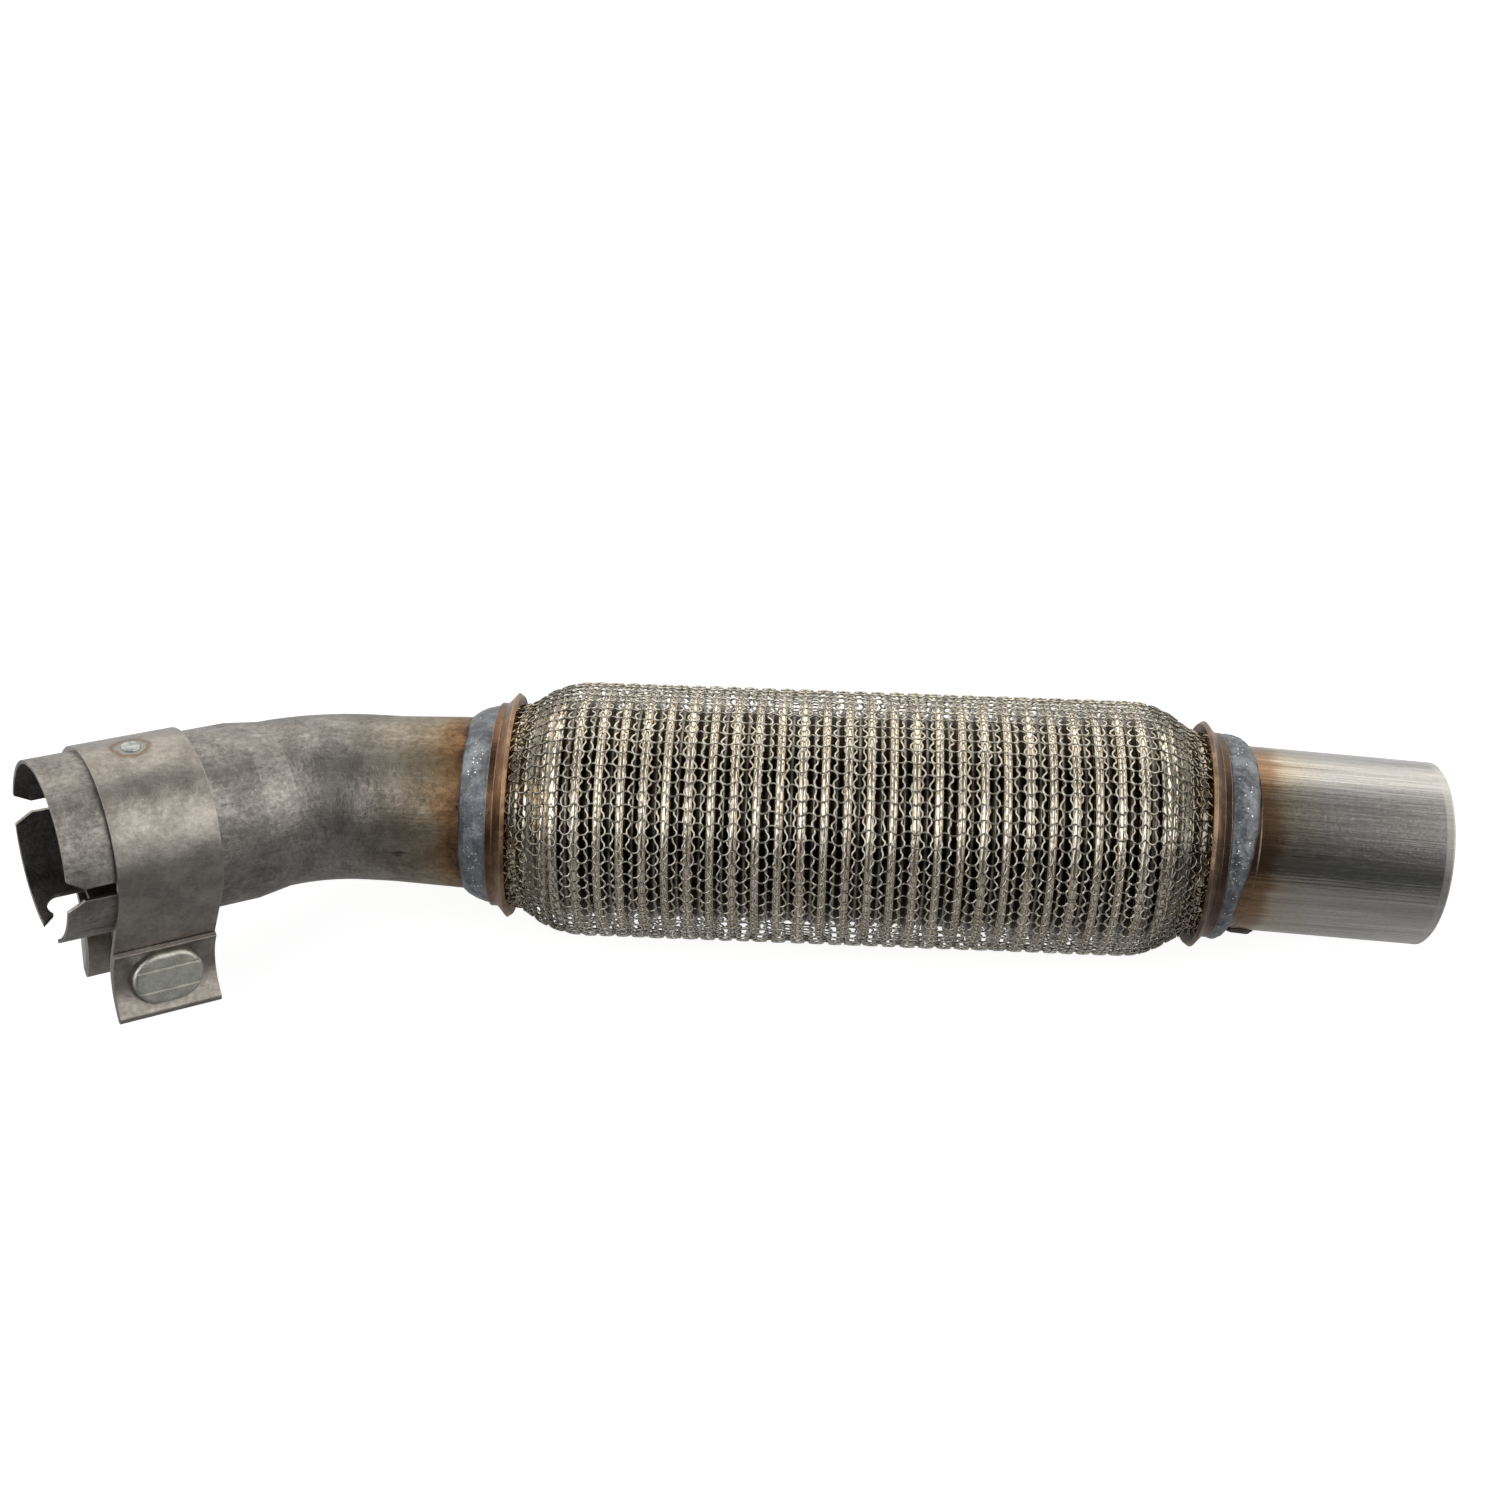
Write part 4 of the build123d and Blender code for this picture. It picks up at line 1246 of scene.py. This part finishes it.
class EXHAUST_OT_bellows(ExhaustOperator, bpy.types.Operator):
    """Folds the bellows and its two end cuffs"""

    bl_idname = "exhaust.bellows"
    bl_label = "Bellows"

    def make(self, scene):
        settings = scene.exhaust_bellows
        strip = bellows_strip(settings)
        piece = settle("bellows_convolutions", bellows_tree(), {
            "Convolutions": settings.convolutions, "Length": settings.length,
            "Crest Radius": settings.crest_radius, "Valley Radius": settings.valley_radius,
            "Bore Radius": settings.bore_radius, "Strip": strip})
        face_outwards(piece.data)
        dress(piece, "bellows_steel", "bellows")
        for name, place in (("outlet", outlet_cuffs), ("inlet", inlet_end)):
            dress(lathe(f"bellows_{name}_cuff", place, cuff_steps(), strip), "bellows_steel", "bellows")


class EXHAUST_OT_tubes(ExhaustOperator, bpy.types.Operator):
    """Gives the inlet tube, the outlet tube and the liner their steel, heat tint and marks"""

    bl_idname = "exhaust.tubes"
    bl_label = "Tubes and Liner"

    def make(self, scene):
        settings = scene.exhaust_tubes
        refinish(inlet_steel(settings), "bent_inlet_pipe")
        refinish(outlet_steel(settings), "outlet_pipe")
        refinish(liner_strip(settings), "interlock_liner")


class EXHAUST_OT_welds(ExhaustOperator, bpy.types.Operator):
    """Lays the two weld beads and tints the collars between them and the sleeve"""

    bl_idname = "exhaust.welds"
    bl_label = "Welds and Collars"

    def make(self, scene):
        settings = scene.exhaust_welds
        # The outlet collar's darker tint is painted shade
        refinish(collar_steel("outlet_collar_steel", outlet_cuffs, settings.collar, outlet_collar_shaded_tint),
                 "outlet_end_collar")
        refinish(collar_steel("inlet_collar_steel", inlet_end, settings.collar, inlet_collar_tint),
                 "inlet_end_collar")
        crown = settings.crown / MM
        outlet = weld_bead("outlet_weld_lumps", outlet_end, outlet_bead_start, outlet_bead_toe, (29.6, 27.4),
                           crown, settings.outlet_roughness / MM, 0.6,
                           weld_metal("outlet_weld_skin", outlet_end, settings.slate, 0.39))
        dress(outlet, "weld_metal", "outlet_weld_bead")
        inlet = weld_bead("inlet_weld_lumps", inlet_end, inlet_bead_start, inlet_bead_toe, (29.7, 25.8),
                          0.55 * crown, settings.inlet_roughness / MM, 0.0,
                          weld_metal("inlet_weld_skin", inlet_end, settings.slate, 0.45))
        dress(inlet, "weld_metal", "inlet_weld_bead")
        dress(weld_drip("outlet_weld_drip", drip_metal()), "weld_metal")


class EXHAUST_OT_clamp(ExhaustOperator, bpy.types.Operator):
    """Finishes the band clamp with its spot weld, screw, nut, washer and spacer, and cuts the thread"""

    bl_idname = "exhaust.clamp"
    bl_label = "Band Clamp"

    def make(self, scene):
        settings = scene.exhaust_clamp
        plated = fastener_steel(settings)
        refinish(clamp_strip(settings), "clamp_band")
        refinish(nugget_metal(), "band_spot_weld")
        refinish(plated, "clamp_bolt", "clamp_nut", "clamp_nut_washer")
        refinish(spacer_steel(settings), "clamp_spacer")
        length = (nut_face - screw_tail) * MM - 0.5 * settings.thread_pitch
        thread = settle("screw_thread", thread_tree(), {
            "Turns": length / settings.thread_pitch, "Radius": settings.thread_radius, "Length": length,
            "Steel": plated})
        thread.data.transform(screw_place @ shifted(0, 0, screw_tail + 0.3))
        face_outwards(thread.data)
        dress(thread, "fastener_steel")


class EXHAUST_OT_studio(ExhaustOperator, bpy.types.Operator):
    """Sets the paper floor, the white backdrop, the softboxes and the camera"""

    bl_idname = "exhaust.studio"
    bl_label = "Studio"

    def make(self, scene):
        settings = scene.exhaust_studio
        self.backdrop(scene, settings)
        self.floor(settings)
        self.softboxes(scene, settings)
        self.camera(scene, settings)
        scene.view_settings.view_transform = "Standard"

    def backdrop(self, scene, settings):
        """White to the camera; metal sees it white behind the pipe and dim on the viewer's side."""
        scene.world = scene.world or bpy.data.worlds.new("Studio")
        scene.world.use_nodes = True
        tree = scene.world.node_tree
        tree.nodes.clear()
        nodes = Nodes(tree)
        direction = nodes.add("ShaderNodeTexCoord").outputs["Generated"]
        across = nodes.separate(direction)["X"]
        backward = nodes.vector("DOT_PRODUCT", direction, (0.0, cos(radians(20)), sin(radians(20))))
        backward = nodes.range(backward, -1, 1)
        sideways = nodes.range(nodes.math("ABSOLUTE", across), 0.42, 0.56, smooth=True)
        seen = nodes.mix(sideways, nodes.ramp(backward, *middle_panels), nodes.ramp(backward, *side_panels))
        left = nodes.range(across, -0.02, -0.10, smooth=True)
        seen = nodes.mix(left, seen, nodes.mix(1.0, seen, nodes.ramp(backward, *left_window), "LIGHTEN"))
        path = nodes.add("ShaderNodeLightPath").outputs
        white = (1, 1, 1, 1)
        room = nodes.add("ShaderNodeBackground", {"Color": white, "Strength": settings.room_level})
        glossy = nodes.add("ShaderNodeBackground", {"Color": seen, "Strength": settings.panel_level})
        paper = nodes.add("ShaderNodeBackground", {"Color": white, "Strength": 1.0})
        shiny = nodes.add("ShaderNodeMixShader", {0: path["Is Glossy Ray"], 1: room, 2: glossy})
        plain = nodes.math("ADD", path["Is Camera Ray"], path["Is Transmission Ray"], clamp=True)
        mixed = nodes.add("ShaderNodeMixShader", {0: plain, 1: shiny, 2: paper})
        nodes.add("ShaderNodeOutputWorld", {"Surface": mixed})

    def floor(self, settings):
        """Matt paper that the camera sees almost white, with the pipe's shadow left in it."""
        bpy.ops.mesh.primitive_plane_add(size=30, location=(0, 0, cad_box[0][2] - 0.0001))
        floor = bpy.context.object
        floor.name = "floor"
        paper, nodes, shader = steel("floor_paper")
        shader.inputs["Metallic"].default_value = 0.0
        shader.inputs["Base Color"].default_value = (*settings.floor_colour, 1.0)
        shader.inputs["Roughness"].default_value = 0.9
        shader.inputs["Specular IOR Level"].default_value = 0.1
        path = nodes.add("ShaderNodeLightPath").outputs
        spot = nodes.separate(nodes.add("ShaderNodeTexCoord").outputs["Object"])
        lit = nodes.range(spot["Y"], -0.12, 0.08, 0.0, 0.48, smooth=True)
        seen = nodes.math("ADD", path["Is Camera Ray"], path["Is Transmission Ray"], clamp=True)
        level = nodes.plus(nodes.times(seen, 0.86), nodes.times(path["Is Glossy Ray"], lit))
        glow = nodes.add("ShaderNodeEmission", {"Color": (1, 1, 1, 1), "Strength": level})
        mixed = nodes.add("ShaderNodeAddShader", {0: shader, 1: glow})
        nodes.link(mixed.outputs[0], paper.node_tree.nodes["Material Output"].inputs["Surface"])
        floor.data.materials.append(paper)

    def softboxes(self, scene, settings):
        """Two tall softboxes on each side, low in front and overhead, and one long one behind."""
        upright, backward = Vector((0, 0, 1)), Vector((0, 1, 0))
        places = []
        for side, sign in (("left", -1), ("right", 1)):
            for height, lift, share, top in (("front", 50, 1.0, upright), ("overhead", 108, 0.6, backward)):
                where = (sign * 0.78, 0.85 * -cos(radians(lift)), 0.85 * sin(radians(lift)))
                places.append((f"{side}_{height}", where, (0.5, 0.8), share, top))
        places.append(("back", (0.0, 0.75, 0.62), (1.7, 0.4), 0.6, upright))
        for name, where, size, share, top in places:
            light = bpy.data.lights.new(f"{name}_softbox", "AREA")
            light.shape = "RECTANGLE"
            light.size, light.size_y = size
            light.energy = settings.softbox_power * share
            lamp = bpy.data.objects.new(light.name, light)
            scene.collection.objects.link(lamp)
            lamp.visible_glossy = False
            lamp.location = joint_middle + Vector(where)
            back = Vector(where).normalized()
            right = top.cross(back).normalized()
            lamp.rotation_euler = Matrix((right, back.cross(right), back)).transposed().to_euler()

    def camera(self, scene, settings):
        """Looks down on the pipe as the photograph does."""
        camera = bpy.data.objects.new("camera", bpy.data.cameras.new("camera"))
        scene.collection.objects.link(camera)
        camera.data.lens = settings.lens
        camera.data.sensor_width = settings.sensor
        camera.data.clip_start = 0.01
        turn, fall = radians(view_turn), radians(view_fall)
        right = Vector((cos(turn), sin(turn), 0))
        up = Vector((-sin(turn) * sin(fall), cos(turn) * sin(fall), cos(fall)))
        axes = Matrix((right, up, right.cross(up))).transposed().to_4x4()
        camera.matrix_world = Matrix.Translation(joint_middle + viewpoint) @ axes
        scene.camera = camera


class EXHAUST_PT_sidebar(bpy.types.Panel):
    """Sizes, colours and steps of the exhaust pipe"""

    bl_label = "Flexible Exhaust Pipe"
    bl_idname = "EXHAUST_PT_sidebar"
    bl_space_type = "VIEW_3D"
    bl_region_type = "UI"
    bl_category = "Exhaust"

    def draw(self, context):
        for step, (operator, settings) in steps.items():
            box = self.layout.box()
            box.operator(operator.bl_idname)
            group = getattr(context.scene, settings)
            for name in group.bl_rna.properties.keys():
                if name not in ("rna_type", "name"):
                    box.prop(group, name)


steps = {
    "bellows": (EXHAUST_OT_bellows, "exhaust_bellows"),
    "sleeve": (EXHAUST_OT_sleeve, "exhaust_sleeve"),
    "tubes": (EXHAUST_OT_tubes, "exhaust_tubes"),
    "welds": (EXHAUST_OT_welds, "exhaust_welds"),
    "clamp": (EXHAUST_OT_clamp, "exhaust_clamp"),
    "studio": (EXHAUST_OT_studio, "exhaust_studio"),
}

setting_groups = {
    "exhaust_sleeve": SleeveSettings,
    "exhaust_bellows": BellowsSettings,
    "exhaust_tubes": TubeSettings,
    "exhaust_welds": WeldSettings,
    "exhaust_clamp": ClampSettings,
    "exhaust_studio": StudioSettings,
}


def register():
    for group in setting_groups.values():
        bpy.utils.register_class(group)
    for operator, settings in steps.values():
        bpy.utils.register_class(operator)
    bpy.utils.register_class(EXHAUST_PT_sidebar)
    for name, group in setting_groups.items():
        setattr(bpy.types.Scene, name, PointerProperty(type=group))


def unregister():
    for name in setting_groups:
        delattr(bpy.types.Scene, name)
    bpy.utils.unregister_class(EXHAUST_PT_sidebar)
    for operator, settings in steps.values():
        bpy.utils.unregister_class(operator)
    for group in setting_groups.values():
        bpy.utils.unregister_class(group)


def main():
    register()
    for step in steps:
        getattr(bpy.ops.exhaust, step)()


if __name__ == "__main__":
    main()
